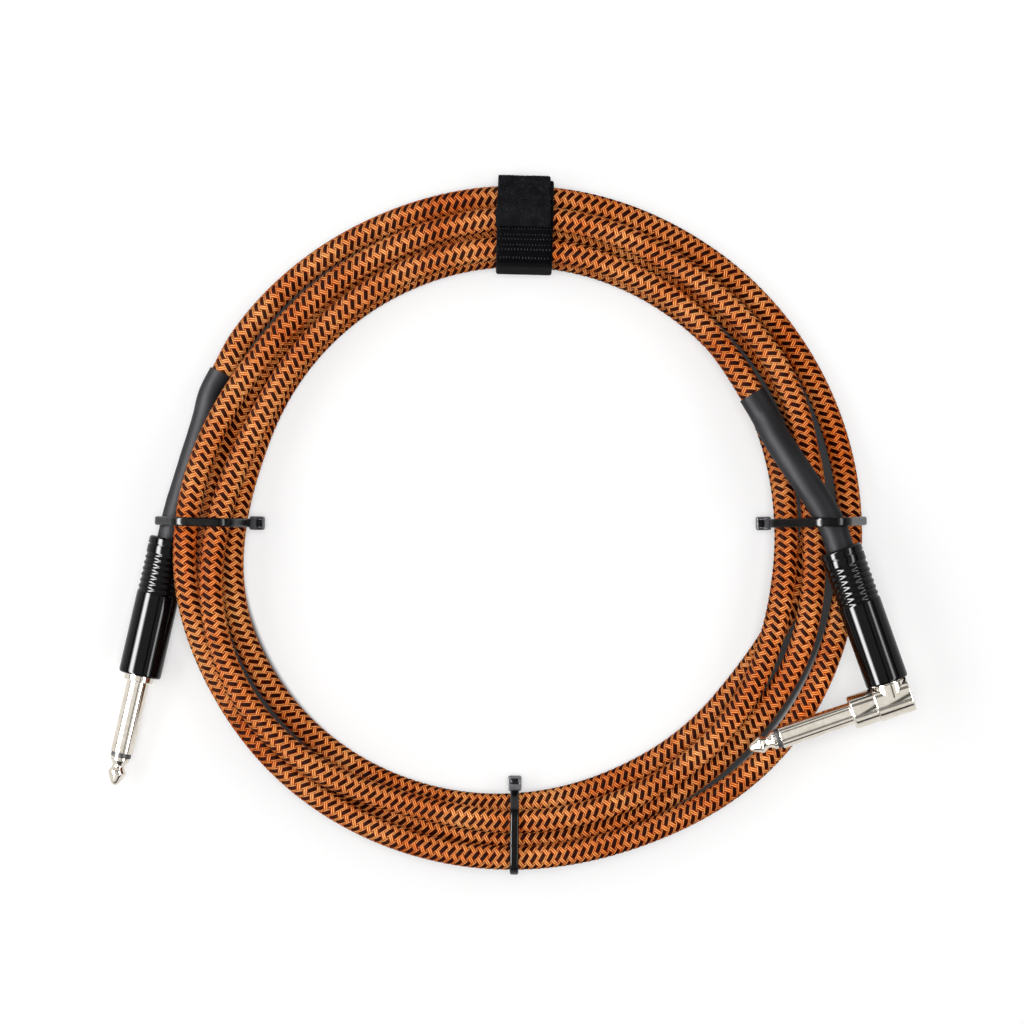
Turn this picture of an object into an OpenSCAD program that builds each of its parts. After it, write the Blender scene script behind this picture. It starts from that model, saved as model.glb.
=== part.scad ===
// Coiled instrument cable with a straight and a right-angle plug, tied for the shelf.
// It lies flat: the coil's centre is the origin, the surface it rests on is z = 0, and
// bearings round the coil are in degrees clockwise from +Y, seen from above.

/* [Cord] */
// Diameter of the woven cord
cord_d = 7; // [6:0.1:8]
// Distance between neighbouring strands, and between layers, in cord diameters
strand_pitch = 1.0715; // [1.07:0.005:1.2]
// Radius of the outermost lane of the coil, to the cord's middle
coil_r = 95.4; // [90:0.5:120]

/* [Barrels] */
// Length of a barrel
barrel_l = 40; // [38:0.5:46]
// How much wider than the cord the bore of a barrel is
bore_room = 2.8; // [2.7:0.05:3.2]
// Thickness of a barrel's wall round that bore
barrel_wall = 1.2; // [1:0.05:1.6]
// Thickness of the wall that a barrel has at its cord end
barrel_end = 2.2; // [1.6:0.1:3]
// How far the barrel's thread stands in from its bore
thread_step = 0.6; // [0.5:0.05:0.7]
// Length of that thread
thread_l = 7.2; // [6:0.1:8]
// Number of fine ribs round the barrel
rib_count = 7; // [3:1:9]
// Distance from one rib to the next
rib_pitch = 1.7; // [1.2:0.05:2]
// Travel of a barrel when it is unscrewed by three turns
unscrew_l = 2.25; // [1.5:0.25:2.5]

/* [Plug finger] */
// Diameter of the plug's shank, a quarter of an inch
shank_d = 6.35; // [6.3:0.01:6.4]
// Length of the shank in front of the collar
shank_l = 21; // [20:0.25:22]
// Width of the insulating ring between shank and tip
ring_l = 1.3; // [1:0.1:2]
// Length of the tip
tip_l = 8.2; // [7.5:0.1:9]
// Diameter of the tip's ball
tip_d = 5.1; // [4.8:0.1:5.6]
// Diameter of the rod that runs from the tip to its solder lug
rod_d = 2.2; // [1.8:0.1:2.4]
// Diameter of the straight plug's collar
collar_d = 8.4; // [7.5:0.1:9.4]
// Length of the straight plug's collar in front of the barrel
collar_l = 1.8; // [1:0.1:3]

/* [Elbow] */
// Distance from the barrel's front to the shank's axis
elbow_drop = 4.9; // [4.7:0.1:7]
// Diameter of the elbow's cross piece
elbow_d = 10.4; // [10:0.1:11.5]
// Length of the elbow from the barrel's axis to its collar, and to its cap
elbow_reach = 5.2; // [5:0.1:7]
// Diameter of the angled plug's collar
elbow_collar_d = 9.7; // [8.5:0.1:10]
// Length of the angled plug's collar
elbow_collar_l = 7.4; // [4:0.1:9]

/* [Strain relief] */
// Thickness of a sleeve's wall
sleeve_wall = 0.4; // [0.3:0.05:0.5]
// Gap between a sleeve's end inside the barrel and the cable clamp
sleeve_gap = 3.5; // [1.5:0.5:6]

/* [Where the plugs lie] */
// Bearing of the straight barrel's cord end
straight_at = 268.5; // [267:0.25:269]
// How far that end's middle lies outside the outermost lane
straight_out = 3.84; // [3.8:0.02:5]
// Direction of the straight plug, anticlockwise from +X
straight_heading = 257; // [252:0.5:260]
// Gap below the straight barrel
straight_lift = 0.2; // [0.1:0.1:1]
// Bearing of the angled barrel's cord end
angle_at = 93.25; // [92:0.25:95]
// How far that end's middle lies inside the outermost lane
angle_in = 4.05; // [3:0.05:5]
// Direction of the angled barrel, anticlockwise from +X
angle_heading = -70.5; // [-74:0.5:-66]
// Height of the angled barrel above the strands that it lies on
angle_lift = 0; // [0:0.1:1.5]
// Dip of the angled plug's tip
angle_dip = 3; // [0:0.5:3.5]

/* [Nylon ties] */
// Width of a tie
tie_w = 2.5; // [2:0.1:3.6]
// Thickness of a tie
tie_t = 1; // [0.8:0.1:1.2]
// Bearing of the left tie
left_tie_at = 271.5; // [270:0.5:273]
// Bearing of the right tie
right_tie_at = 88.5; // [87:0.5:90]
// Bearing of the bottom tie
bottom_tie_at = 180.5; // [176:0.5:184]
// Depth of a tie's head, towards the coil's middle
tie_head_l = 4.4; // [3.5:0.1:5]
// Width of a tie's head
tie_head_w = 3.9; // [3.6:0.1:5]
// Height of a tie's head
tie_head_h = 4.6; // [4:0.1:6]
// Height of the head's underside above the surface
tie_head_z = 2.4; // [1.8:0.1:3.2]

/* [Hook-and-loop strap] */
// Width of the strap
strap_w = 16; // [12:0.5:20]
// Thickness of the strap's band
strap_t = 1.2; // [0.8:0.1:1.4]
// Height of the hooks on the band
hook_t = 0.4; // [0.3:0.05:0.6]
// Thickness of the tab
tab_t = 1.1; // [0.8:0.1:1.4]
// Bearing of the strap
strap_at = 1.5; // [-2:0.5:4]
// Distance of the tab's free end from the coil's middle
tab_end_r = 86; // [83:0.5:90]
// Height of the line where the tab leaves the band
tab_root_z = 5; // [4:0.5:8]
// Height above which the band carries hooks
hooks_low_z = 9; // [8:0.5:11]

/* [Hidden] */
$fn = 96;

nickel = "#C9BFAE";
brass = "#B89A4A";
gloss_black = "#151517";
sleeve_grey = "#3A3A3C";
weave_orange = "#D97A2B";
nylon_black = "#1B1B1D";
pile_black = "#232326";
plastic_white = "#D8D6CF";
plastic_black = "#242426";
copper = "#B87345";

// Clearances and laps
seat = 0.1;          // between pieces that are pushed together
running = 0.1;       // between a thread and its nut, on the radius
wrap = 0.35;         // between a tie or the strap and what it goes round
film = 0.05;         // between layers that lie on each other
sleeve_slip = 0.15;  // between a sleeve and the hole in the barrel
lap = 0.5;           // by which the parts of one solid run into each other
flat_share = 0.1;    // share of its diameter that a strand is flattened by on the surface

// ---- The coil's route ----
// turned is the angle wound since the first lane's bearing. lane counts strands inwards
// from the outermost, level counts layers up from the surface.
pitch = cord_d * strand_pitch;
sleeve_d = cord_d + 2 * (seat + sleeve_wall);
rest_z = cord_d * (0.5 - flat_share);
first_bearing = 300;
wind_from = -2;
wind_to = 1560;
ring_step = 15;
end_run = [4.2, 5.5];  // degrees that the two ends run straight
start_rise = sleeve_d / 2 - rest_z + 0.2;

function ease(x, from, to) =
    let (t = min(1, max(0, (x - from) / (to - from)))) t * t * (3 - 2 * t);
function swell(x, middle, reach) =
    abs(x - middle) < reach ? (1 + cos(180 * (x - middle) / reach)) / 2 : 0;
function off_bearing(bearing, from) = abs(((bearing - from) % 360 + 540) % 360 - 180);

function lane(turned) =
    // first turn: leans out, in towards the next lane, and moves in as it meets itself
    - 0.12 * (ease(turned, -7, 5) - ease(turned, 5, 45))
    - 0.2 * swell(turned, 190, 35)
    + 0.27 * swell(turned, 232, 62)
    + ease(turned, 312, 375)
    // second turn: makes room for the angled barrel, then bows out under the first turn
    - 0.15 * swell(turned, 428, 40)
    + 0.45 * swell(turned, 507, 32)
    - 0.05 * ease(turned, 530, 590)
    - 0.55 * swell(turned, 664, 56)
    + 0.25 * ease(turned, 655, 705)
    // third turn: inmost below, with a bow outwards
    + 1.2 * ease(turned, 855, 910)
    - 0.94 * ease(turned, 930, 1028)
    + 0.75 * ease(turned, 1026, 1070)
    // fourth turn: climbs and rides out over the first turn, then back in
    + 0.25 * swell(turned, 1228, 42)
    - 0.55 * ease(turned, 1238, 1292)
    - 1.05 * ease(turned, 1330, 1378)
    + 1.5 * ease(turned, 1380, 1440)
    // last third of a turn
    - 0.1 * swell(turned, 1492, 45)
    + 0.3 * ease(turned, 1530, 1560);

function level(turned) =
    ease(turned, 130, 185)
    - 0.2 * swell(turned, 232, 55)
    + 0.45 * swell(turned, 329, 35)
    - ease(turned, 530, 560)
    + ease(turned, 1200, 1252)
    + 0.9 * (ease(turned, 1338, 1366) - ease(turned, 1396, 1430))
    + 0.3 * ease(turned, 1530, 1590);

// the bundle is lifted where a tie or the strap passes below it, and lies flattened elsewhere
lift_reach = 32;
tie_flat = 2;     // degrees to each side of a tie over which the bundle stays level
strap_flat = 9;   // and of the strap
function lift_round(bearing, places, flat) =
    max([for (place = places)
        ease(lift_reach - off_bearing(bearing, place), 0, lift_reach - flat)]);
function lift(bearing) =
    let (at_tie = lift_round(bearing, [left_tie_at, right_tie_at, bottom_tie_at], tie_flat),
        at_strap = lift_round(bearing, [strap_at], strap_flat))
    (tie_t + wrap) * at_tie + (strap_t + wrap) * at_strap
    - cord_d * flat_share * (1 - max(at_tie, at_strap));

function coil_radius(turned) = coil_r - pitch * lane(turned);
function coil_height(turned) =
    cord_d / 2 + pitch * level(turned) + lift(first_bearing + turned)
    + start_rise * (1 - ease(turned, 0, 25));
function polar(radius, bearing, height) =
    [radius * sin(bearing), radius * cos(bearing), height];
function coil_point(turned) =
    polar(coil_radius(turned), first_bearing + turned, coil_height(turned));

wound = concat(
    [wind_from, wind_from + end_run[0]],
    [for (turned = [ring_step:ring_step:wind_to - ring_step]) turned],
    [wind_to - end_run[1], wind_to]);
coil_points = [for (turned = wound) coil_point(turned)];

// ---- Tubes swept along points ----
function unit(v) = v / norm(v);
function heading_at(points, i) =
    let (last = len(points) - 1)
    i == 0 ? unit(points[1] - points[0])
    : i == last ? unit(points[last] - points[last - 1])
    : unit(unit(points[i + 1] - points[i]) + unit(points[i] - points[i - 1]));
function ring_at(points, i, r, sides) =
    let (along = heading_at(points, i), out = unit(cross(along, [0, 0, 1])), up = cross(out, along))
    [for (k = [0:sides - 1])
        let (p = points[i] + r * (cos(360 * k / sides) * out + sin(360 * k / sides) * up))
        [p.x, p.y, max(0, p.z)]];
function rings(points, r, sides) =
    [for (i = [0:len(points) - 1]) each ring_at(points, i, r, sides)];
function skin(count, sides, first, outward) =
    [for (i = [0:count - 2], k = [0:sides - 1])
        let (a = first + i * sides + k, b = first + i * sides + (k + 1) % sides,
            c = a + sides, d = b + sides)
        each outward ? [[a, b, c], [b, d, c]] : [[a, c, b], [b, c, d]]];

module tube(points, r, sides) {
    count = len(points);
    end = (count - 1) * sides;
    near = [for (k = [1:sides - 2]) [0, k + 1, k]];
    far = [for (k = [1:sides - 2]) [end, end + k, end + k + 1]];
    polyhedron(rings(points, r, sides), concat(skin(count, sides, 0, true), near, far));
}

module pipe(points, r_out, r_in, sides) {
    count = len(points);
    inner = count * sides;
    near = [for (k = [0:sides - 1])
        let (n = (k + 1) % sides) each [[k, inner + k, n], [n, inner + k, inner + n]]];
    end = inner - sides;
    far = [for (k = [0:sides - 1])
        let (a = end + k, b = end + (k + 1) % sides)
        each [[a, b, inner + a], [b, inner + b, inner + a]]];
    polyhedron(
        concat(rings(points, r_out, sides), rings(points, r_in, sides)),
        concat(skin(count, sides, 0, true), skin(count, sides, inner, false), near, far));
}

// ---- Places of the two plugs ----
// In a plug's own frame the barrel's axis is +Z, its cord end is at z = 0.
barrel_bore = cord_d + bore_room;
barrel_d = barrel_bore + 2 * barrel_wall;
thread_d = barrel_bore - 2 * thread_step;
straight_z = barrel_d / 2 + straight_lift;
angle_sink = 0.4;  // by which the angled barrel lies down between two strands
angle_z = cord_d + pitch + barrel_d / 2 - angle_sink + angle_lift;
straight_end = polar(coil_r + straight_out, straight_at, straight_z);
angle_end = polar(coil_r - angle_in, angle_at, angle_z);
function way(heading) = [cos(heading), sin(heading), 0];
function straight_point(along) = straight_end + along * way(straight_heading);
function angle_point(along) = angle_end + along * way(angle_heading);

module straight_place() {
    translate(straight_end)
        rotate([0, 0, straight_heading])
            rotate([0, 90, 0]) children();
}

module angle_place() {
    translate(angle_end)
        rotate([0, 0, angle_heading])
            rotate([angle_dip, 0, 0])
                rotate([0, 90, 0]) children();
}

// the finger's own frame: +Z towards the tip, z = 0 where the collar ends
module straight_finger() {
    straight_place() translate([0, 0, barrel_l + collar_l]) children();
}

module angle_finger() {
    angle_place() translate([0, -elbow_reach - elbow_collar_l, barrel_l + elbow_drop])
        rotate([90, 0, 0]) children();
}

// ---- Leads: from the cable clamp out of the barrel to the coil ----
flange_set = 1.2;   // depth of the flange's rear face in the barrel
thread_back = barrel_l - flange_set - thread_l;
wiring_l = 16.1;    // between the end of the cord's jacket and the thread's rear end
clamp_l = 6;
jacket_end = thread_back - wiring_l;
sleeve_in = jacket_end - clamp_l - sleeve_gap;
exit_run = cord_d;
last_coil = coil_points[len(coil_points) - 1];
last_way = heading_at(coil_points, len(coil_points) - 1);
straight_lead_points = concat(
    [straight_point(jacket_end), straight_point(sleeve_in), straight_point(0),
        straight_point(-exit_run)],
    [polar(coil_r, 280.1, straight_z - 0.7), polar(coil_r - 0.6, 285.3, straight_z - 1.4),
        polar(coil_r - 0.42, 290.4, straight_z - 1.9)],
    [coil_points[0] - cord_d * heading_at(coil_points, 0), coil_points[0]]);
angle_lead_points = concat(
    [angle_point(jacket_end), angle_point(sleeve_in), angle_point(0), angle_point(-exit_run)],
    [polar(coil_r - 10.05, 84.2, angle_z), polar(coil_r - 13.15, 79.9, angle_z - 0.6),
        polar(coil_r - 15.75, 74.85, angle_z - 2.6), polar(coil_r - 17.35, 69.9, angle_z - 5.4)],
    [last_coil + cord_d * last_way, last_coil]);
lead_sides = 12;
cord_sides = 6;
function sleeve_points(points) = [for (i = [1:len(points) - 1]) points[i]];

// ---- Inside the plugs ----
flange_t = 1.1;
flange_d = barrel_bore - 2 * seat;
clamp_t = 0.6;
washer_t = 1.5;
lug_t = 0.6;
rivet_t = 0.6;
rivet_rim = 0.4;
insulator_wall = 0.7;
tube_d = rod_d + 2 * insulator_wall;
ring_d = shank_d - 0.65;
rear_washer_d = 6.2;
lug_washer_d = 5.6;
clamp_washer_d = thread_d - 0.6;
clamp_wall = 0.5;
clamp_ring = cord_d + seat + 2 * clamp_wall;
clamp_open = 5;
clamp_arm_w = 2.6;
clamp_arm_t = 0.5;
clamp_arm_y = -clamp_ring / 2 + clamp_wall / 2;
liner_wall = 0.45;
liner_back = jacket_end - clamp_l - 1;
lug_tab_l = 7;
lug_tab_w = 2.4;
core_d = 3;
wire_d = 1;
tail_d = 1.2;
tail_l = 6.5;
core_l = 5.5;
solder_l = 2.5;     // length of wire that lies on a lug

module finger_tip(rod_back) {
    root_r = ring_d / 2 - 0.15;
    neck_r = 1.6;
    color(nickel) {
        translate([0, 0, shank_l + ring_l]) rotate_extrude()
            polygon([[0, 0], [root_r, 0], [root_r, 0.9], [neck_r, 2.5], [neck_r + 0.1, 2.9],
                [tip_d / 2, 4.3], [tip_d / 2, 4.8], [1.1, tip_l - 0.5], [0.7, tip_l - 0.1],
                [0.4, tip_l], [0, tip_l]]);
        translate([0, 0, rod_back]) cylinder(d = rod_d, h = shank_l + ring_l - rod_back + lap);
        translate([0, 0, rod_back]) cylinder(d = rod_d + 2 * rivet_rim, h = rivet_t);
    }
}

module finger_insulator(back) {
    color(plastic_black) difference() {
        union() {
            translate([0, 0, shank_l]) cylinder(d = ring_d, h = ring_l);
            translate([0, 0, back]) cylinder(d = tube_d, h = shank_l - back + ring_l / 2);
        }
        translate([0, 0, back - 1]) cylinder(d = rod_d + seat, h = shank_l + ring_l - back + 2);
    }
}

module washer(d, bore, t) {
    difference() {
        cylinder(d = d, h = t);
        translate([0, 0, -1]) cylinder(d = bore, h = t + 2);
    }
}

// rear end of the stack on the straight rod, measured in the barrel's frame
module cable_clamp(back) {
    color(brass) {
        translate([0, 0, back - clamp_t]) washer(clamp_washer_d, tube_d + 2 * seat, clamp_t);
        translate([-clamp_arm_w / 2, clamp_arm_y, jacket_end])
            cube([clamp_arm_w, clamp_arm_t, back - jacket_end]);
        translate([0, 0, jacket_end - clamp_l]) difference() {
            cylinder(d = clamp_ring, h = clamp_l);
            translate([0, 0, -1]) cylinder(d = cord_d + seat, h = clamp_l + 2);
            translate([-clamp_open / 2, 0, -1]) cube([clamp_open, clamp_ring, clamp_l + 2]);
        }
        translate([-clamp_arm_w / 2, clamp_arm_y, jacket_end - lap])
            cube([clamp_arm_w, 0.4 * clamp_wall, 2 * lap]);
    }
}

module liner() {
    d = barrel_bore - 2 * seat;
    color(plastic_white) translate([0, 0, liner_back]) difference() {
        cylinder(d = d, h = thread_back - liner_back - unscrew_l);
        translate([0, 0, -1]) cylinder(d = d - 2 * liner_wall, h = barrel_l);
    }
}

module barrel() {
    chamfer = 0.5;
    edge = 1;
    groove = 0.35;
    rib_from = barrel_end + 2.4;
    rib_gap = 0.6;
    r = barrel_d / 2;
    nut_d = thread_d + 2 * running;
    color(gloss_black) difference() {
        union() {
            cylinder(d1 = barrel_d - 2 * chamfer, d2 = barrel_d, h = chamfer);
            translate([0, 0, chamfer]) cylinder(d = barrel_d, h = barrel_l - edge - chamfer);
            translate([0, 0, barrel_l - edge]) rotate_extrude() union() {
                square([r - edge, edge]);
                intersection() {
                    translate([r - edge, 0]) circle(edge, $fn = 48);
                    square([r, edge]);
                }
            }
        }
        translate([0, 0, -1]) cylinder(d = sleeve_d + 2 * sleeve_slip, h = barrel_l);
        translate([0, 0, barrel_end])
            cylinder(d = barrel_bore, h = thread_back - unscrew_l + lap - barrel_end);
        translate([0, 0, barrel_end]) cylinder(d = nut_d, h = barrel_l);
        translate([0, 0, barrel_l - flange_set - 2 * seat])
            cylinder(d = flange_d + 4 * seat, h = barrel_l);
        translate([0, 0, barrel_end]) washer(barrel_d + 2, barrel_d - 2 * groove, groove);
        for (i = [0:rib_count - 1])
            translate([0, 0, rib_from + i * rib_pitch + (rib_pitch - rib_gap) / 2])
                washer(barrel_d + 2, barrel_d - 2 * groove, rib_gap);
    }
}

module core_insulation() {
    color(plastic_white) translate([0, 0, jacket_end]) cylinder(d = core_d, h = core_l);
}

module core_wire(off, reach) {
    color(copper) translate([0, off, jacket_end + core_l]) cylinder(d = wire_d, h = reach);
}

module shield_tail() {
    color(copper) translate([0, clamp_arm_y + clamp_arm_t + tail_d / 2, jacket_end])
        cylinder(d = tail_d, h = tail_l);
}

module cord_coil() {
    color(weave_orange) tube(coil_points, cord_d / 2, cord_sides);
}

// ---- Straight plug ----
finger_zero = barrel_l + collar_l;
straight_stack = thread_back - finger_zero;  // rear face of the threaded body, in the finger's frame

module straight_tip() {
    straight_finger() finger_tip(straight_stack - clamp_t - washer_t - lug_t - rivet_t);
}

module straight_tip_insulator() {
    straight_finger() finger_insulator(straight_stack - clamp_t);
}

module straight_shank() {
    straight_finger() color(nickel) difference() {
        union() {
            cylinder(d = shank_d, h = shank_l);
            translate([0, 0, -collar_l - flange_set])
                cylinder(d = collar_d, h = collar_l + flange_set);
            translate([0, 0, -collar_l - flange_set]) cylinder(d = flange_d, h = flange_t);
            translate([0, 0, straight_stack]) cylinder(d = thread_d, h = thread_l + 1);
        }
        translate([0, 0, straight_stack - 1])
            cylinder(d = tube_d + 2 * seat, h = shank_l - straight_stack + 2);
    }
}

module straight_rear_insulator() {
    straight_finger() color(plastic_black)
        translate([0, 0, straight_stack - clamp_t - washer_t])
            washer(rear_washer_d, rod_d + seat, washer_t);
}

module straight_tip_lug() {
    top = straight_stack - clamp_t - washer_t;
    straight_finger() color(brass) {
        translate([0, 0, top - lug_t]) washer(lug_washer_d, rod_d + seat, lug_t);
        translate([-lug_tab_w / 2, rod_d / 2 + rivet_rim, top - lug_tab_l])
            cube([lug_tab_w, lug_t, lug_tab_l]);
    }
}

module straight_cable_clamp() {
    straight_place() cable_clamp(thread_back);
}

module straight_liner() {
    straight_place() liner();
}

module straight_barrel() {
    straight_place() barrel();
}

module straight_sleeve() {
    color(sleeve_grey)
        pipe(sleeve_points(straight_lead_points), sleeve_d / 2, cord_d / 2 + seat, lead_sides);
}

module straight_lead() {
    color(weave_orange) tube(straight_lead_points, cord_d / 2, lead_sides);
}

module straight_core_insulation() {
    straight_place() core_insulation();
}

module straight_core_wire() {
    lug_end = thread_back - clamp_t - washer_t - lug_tab_l;
    straight_place() core_wire(
        rod_d / 2 + rivet_rim - wire_d / 2, lug_end + solder_l - jacket_end - core_l);
}

module straight_shield_tail() {
    straight_place() shield_tail();
}

// ---- Angled plug ----
elbow_gap = 0.3;   // between the barrel's front and the elbow
collar_chamfer = 0.5;
chamber_d = elbow_d - 1.8;
spigot_d = 6.4;
cap_t = 1.3;
wire_bore = 6;
angle_tab_l = 6;   // by which the lug's tab stands out behind the threaded neck
chamber_from = 2;  // distance of the chamber's front face from the barrel's axis
angle_stack = chamber_from - elbow_reach - elbow_collar_l;  // that face, in the finger's frame

module angle_tip() {
    angle_finger() finger_tip(angle_stack - washer_t - lug_t - rivet_t);
}

module angle_tip_insulator() {
    angle_finger() finger_insulator(angle_stack);
}

module angle_shank() {
    angle_finger() color(nickel) difference() {
        union() {
            cylinder(d = shank_d, h = shank_l);
            translate([0, 0, -elbow_collar_l])
                cylinder(d = elbow_collar_d, h = elbow_collar_l - collar_chamfer);
            translate([0, 0, -collar_chamfer]) cylinder(
                d1 = elbow_collar_d, d2 = elbow_collar_d - 2 * collar_chamfer, h = collar_chamfer);
            translate([0, 0, angle_stack])
                cylinder(d = spigot_d, h = elbow_reach - chamber_from + 1);
        }
        translate([0, 0, angle_stack - 1])
            cylinder(d = tube_d + 2 * seat, h = shank_l - angle_stack + 2);
    }
}

module angle_elbow() {
    angle_place() color(nickel) difference() {
        union() {
            translate([0, 0, thread_back]) cylinder(d = thread_d, h = barrel_l - thread_back + 1);
            translate([0, 0, barrel_l - flange_set]) cylinder(d = flange_d, h = flange_t + 1);
            translate([0, 0, barrel_l + elbow_gap])
                cylinder(d = elbow_d, h = elbow_drop - elbow_gap);
            intersection() {
                translate([0, elbow_reach, barrel_l + elbow_drop]) rotate([90, 0, 0])
                    cylinder(d = elbow_d, h = 2 * elbow_reach);
                translate([-elbow_d, -elbow_d, barrel_l + elbow_gap]) cube(2 * elbow_d);
            }
        }
        translate([0, 0, thread_back - 1])
            cylinder(d = wire_bore, h = barrel_l - thread_back + elbow_drop + 1);
        translate([0, elbow_reach + 1, barrel_l + elbow_drop]) rotate([90, 0, 0])
            cylinder(d = chamber_d, h = elbow_reach + 1 + chamber_from);
        translate([0, 0, barrel_l + elbow_drop]) rotate([90, 0, 0])
            cylinder(d = spigot_d + 2 * seat, h = elbow_reach + 1);
    }
}

module angle_elbow_cap() {
    angle_place() color(nickel)
        translate([0, elbow_reach, barrel_l + elbow_drop]) rotate([90, 0, 0])
            cylinder(d = chamber_d - 2 * seat, h = cap_t);
}

module angle_rear_insulator() {
    angle_finger() color(plastic_black) translate([0, 0, angle_stack - washer_t])
        washer(chamber_d - 2 * seat, rod_d + seat, washer_t);
}

module angle_tip_lug() {
    back = angle_stack - washer_t - lug_t;
    tab_back = barrel_l + elbow_drop - thread_back + angle_tab_l;
    tab_from = lug_washer_d / 2 - lap;
    angle_finger() color(brass) translate([0, 0, back]) {
        washer(lug_washer_d, rod_d + seat, lug_t);
        translate([-lug_tab_w / 2, -tab_back, 0]) cube([lug_tab_w, tab_back - tab_from, lug_t]);
    }
}

module angle_cable_clamp() {
    angle_place() cable_clamp(thread_back);
}

module angle_liner() {
    angle_place() liner();
}

module angle_barrel() {
    angle_place() barrel();
}

module angle_sleeve() {
    color(sleeve_grey)
        pipe(sleeve_points(angle_lead_points), sleeve_d / 2, cord_d / 2 + seat, lead_sides);
}

module angle_lead() {
    color(weave_orange) tube(angle_lead_points, cord_d / 2, lead_sides);
}

module angle_core_insulation() {
    angle_place() core_insulation();
}

module angle_core_wire() {
    angle_place() core_wire(wire_d / 2 + washer_t + lug_t - chamber_from,
        thread_back - angle_tab_l + solder_l - jacket_end - core_l);
}

module angle_shield_tail() {
    angle_place() shield_tail();
}

// ---- What goes round the bundle ----
// In the section's frame +X points away from the coil's middle and +Y up.
module section_place(bearing, width) {
    rotate([0, 0, 90 - bearing]) rotate([90, 0, 0]) translate([0, 0, -width / 2]) children();
}

function facet(bearing) =
    let (off = abs((bearing + ring_step / 2) % ring_step - ring_step / 2))
    cos(ring_step / 2) / cos(ring_step / 2 - off);
// the strands' circles in the section, at the middle and at both edges of what goes round them
function strands_at(bearing, width) =
    [for (edge = [-1:1], turn = [0:4])
        let (off = edge * asin(width / 2 / (coil_r - 3 * pitch)),
            turned = (bearing + off - first_bearing + 720) % 360 + 360 * turn)
        if (turned <= wind_to) [coil_radius(turned) * facet(bearing + off) * cos(off),
            coil_height(turned), cord_d / 2]];
// a sleeve crosses the section at a slant, so two circles hold it
function crossing(points, bearing, width) =
    [for (i = [0:len(points) - 2])
        let (side = [cos(bearing), -sin(bearing)],
            a = [points[i].x, points[i].y] * side,
            b = [points[i + 1].x, points[i + 1].y] * side)
        if (a * b < 0)
            let (p = points[i] + (points[i + 1] - points[i]) * a / (a - b),
                run = unit(points[i + 1] - points[i]),
                through = abs(side * [run.x, run.y]),
                slant = sqrt(1 - through * through) / through,
                shift = width / 2 * slant + sleeve_d / 2 * (1 / through - 1))
            for (way = [-1, 1]) [norm([p.x, p.y]) + way * shift, p.z, sleeve_d / 2]];

tie_head_wall = 0.8;

module outline(circles, grow) {
    hull() for (c = circles) translate([c[0], c[1]]) circle(c[2] + grow, $fn = 32);
}

module tie(bearing, circles) {
    inner_r = min([for (c = circles) c[0] - c[2]]) - wrap;
    color(nylon_black) section_place(bearing, tie_w) {
        linear_extrude(tie_w) difference() {
            outline(circles, wrap + tie_t);
            outline(circles, wrap);
        }
        translate([inner_r - tie_head_l, tie_head_z, (tie_w - tie_head_w) / 2]) difference() {
            cube([tie_head_l - 0.2 * tie_t, tie_head_h, tie_head_w]);
            translate([tie_head_wall, -1, tie_head_wall])
                cube([tie_t + 2 * seat, tie_head_h + 2, tie_head_w - 2 * tie_head_wall]);
        }
    }
}

module left_tie() {
    tie(left_tie_at, concat(strands_at(left_tie_at, tie_w),
        crossing(straight_lead_points, left_tie_at, tie_w)));
}

module right_tie() {
    tie(right_tie_at, concat(strands_at(right_tie_at, tie_w),
        crossing(angle_lead_points, right_tie_at, tie_w)));
}

module bottom_tie() {
    tie(bottom_tie_at, strands_at(bottom_tie_at, tie_w));
}

strap_circles = strands_at(strap_at, strap_w);
hooks_from = tab_end_r - 9;
hooks_to = coil_r - 2;

module strap_band() {
    color(pile_black) section_place(strap_at, strap_w) linear_extrude(strap_w) difference() {
        outline(strap_circles, wrap + strap_t);
        outline(strap_circles, wrap);
    }
}

module strap_hooks() {
    color(nylon_black) section_place(strap_at, strap_w) linear_extrude(strap_w) intersection() {
        difference() {
            outline(strap_circles, wrap + strap_t + hook_t);
            outline(strap_circles, wrap + strap_t);
        }
        translate([hooks_from, hooks_low_z]) square([hooks_to - hooks_from, 30]);
    }
}

module strap_tab() {
    color(pile_black) section_place(strap_at, strap_w) linear_extrude(strap_w) intersection() {
        difference() {
            outline(strap_circles, wrap + strap_t + hook_t + film + tab_t);
            outline(strap_circles, wrap + strap_t + hook_t + film);
        }
        translate([tab_end_r, tab_root_z]) square([40, 30]);
    }
}

// ---- Measures printed for the reader ----
least_gap = min([for (i = [0:len(coil_points) - 1], j = [i + 12:1:len(coil_points) - 1])
    norm(coil_points[i] - coil_points[j])]) - cord_d;
echo(least_gap_of_the_coil_to_itself = least_gap);

cord_coil();
straight_tip();
straight_tip_insulator();
straight_shank();
straight_rear_insulator();
straight_tip_lug();
straight_cable_clamp();
straight_liner();
straight_barrel();
straight_sleeve();
straight_lead();
straight_core_insulation();
straight_core_wire();
straight_shield_tail();
angle_tip();
angle_tip_insulator();
angle_shank();
angle_elbow();
angle_elbow_cap();
angle_rear_insulator();
angle_tip_lug();
angle_cable_clamp();
angle_liner();
angle_barrel();
angle_sleeve();
angle_lead();
angle_core_insulation();
angle_core_wire();
angle_shield_tail();
left_tie();
right_tie();
bottom_tie();
strap_band();
strap_hooks();
strap_tab();
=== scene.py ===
"""Coiled instrument cable: its looks, its light and its camera.

Every length in this script is in millimetres unless its name or docstring says metres. The
frame is the part's: z = 0 is the surface that the cable lies on, the coil's middle is the
origin, and bearings are in degrees clockwise from +Y, seen from above.
"""

from __future__ import annotations

import logging
import math
from dataclasses import dataclass, field
from enum import Enum
from typing import Callable, ClassVar, Optional, Sequence, Union

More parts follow.
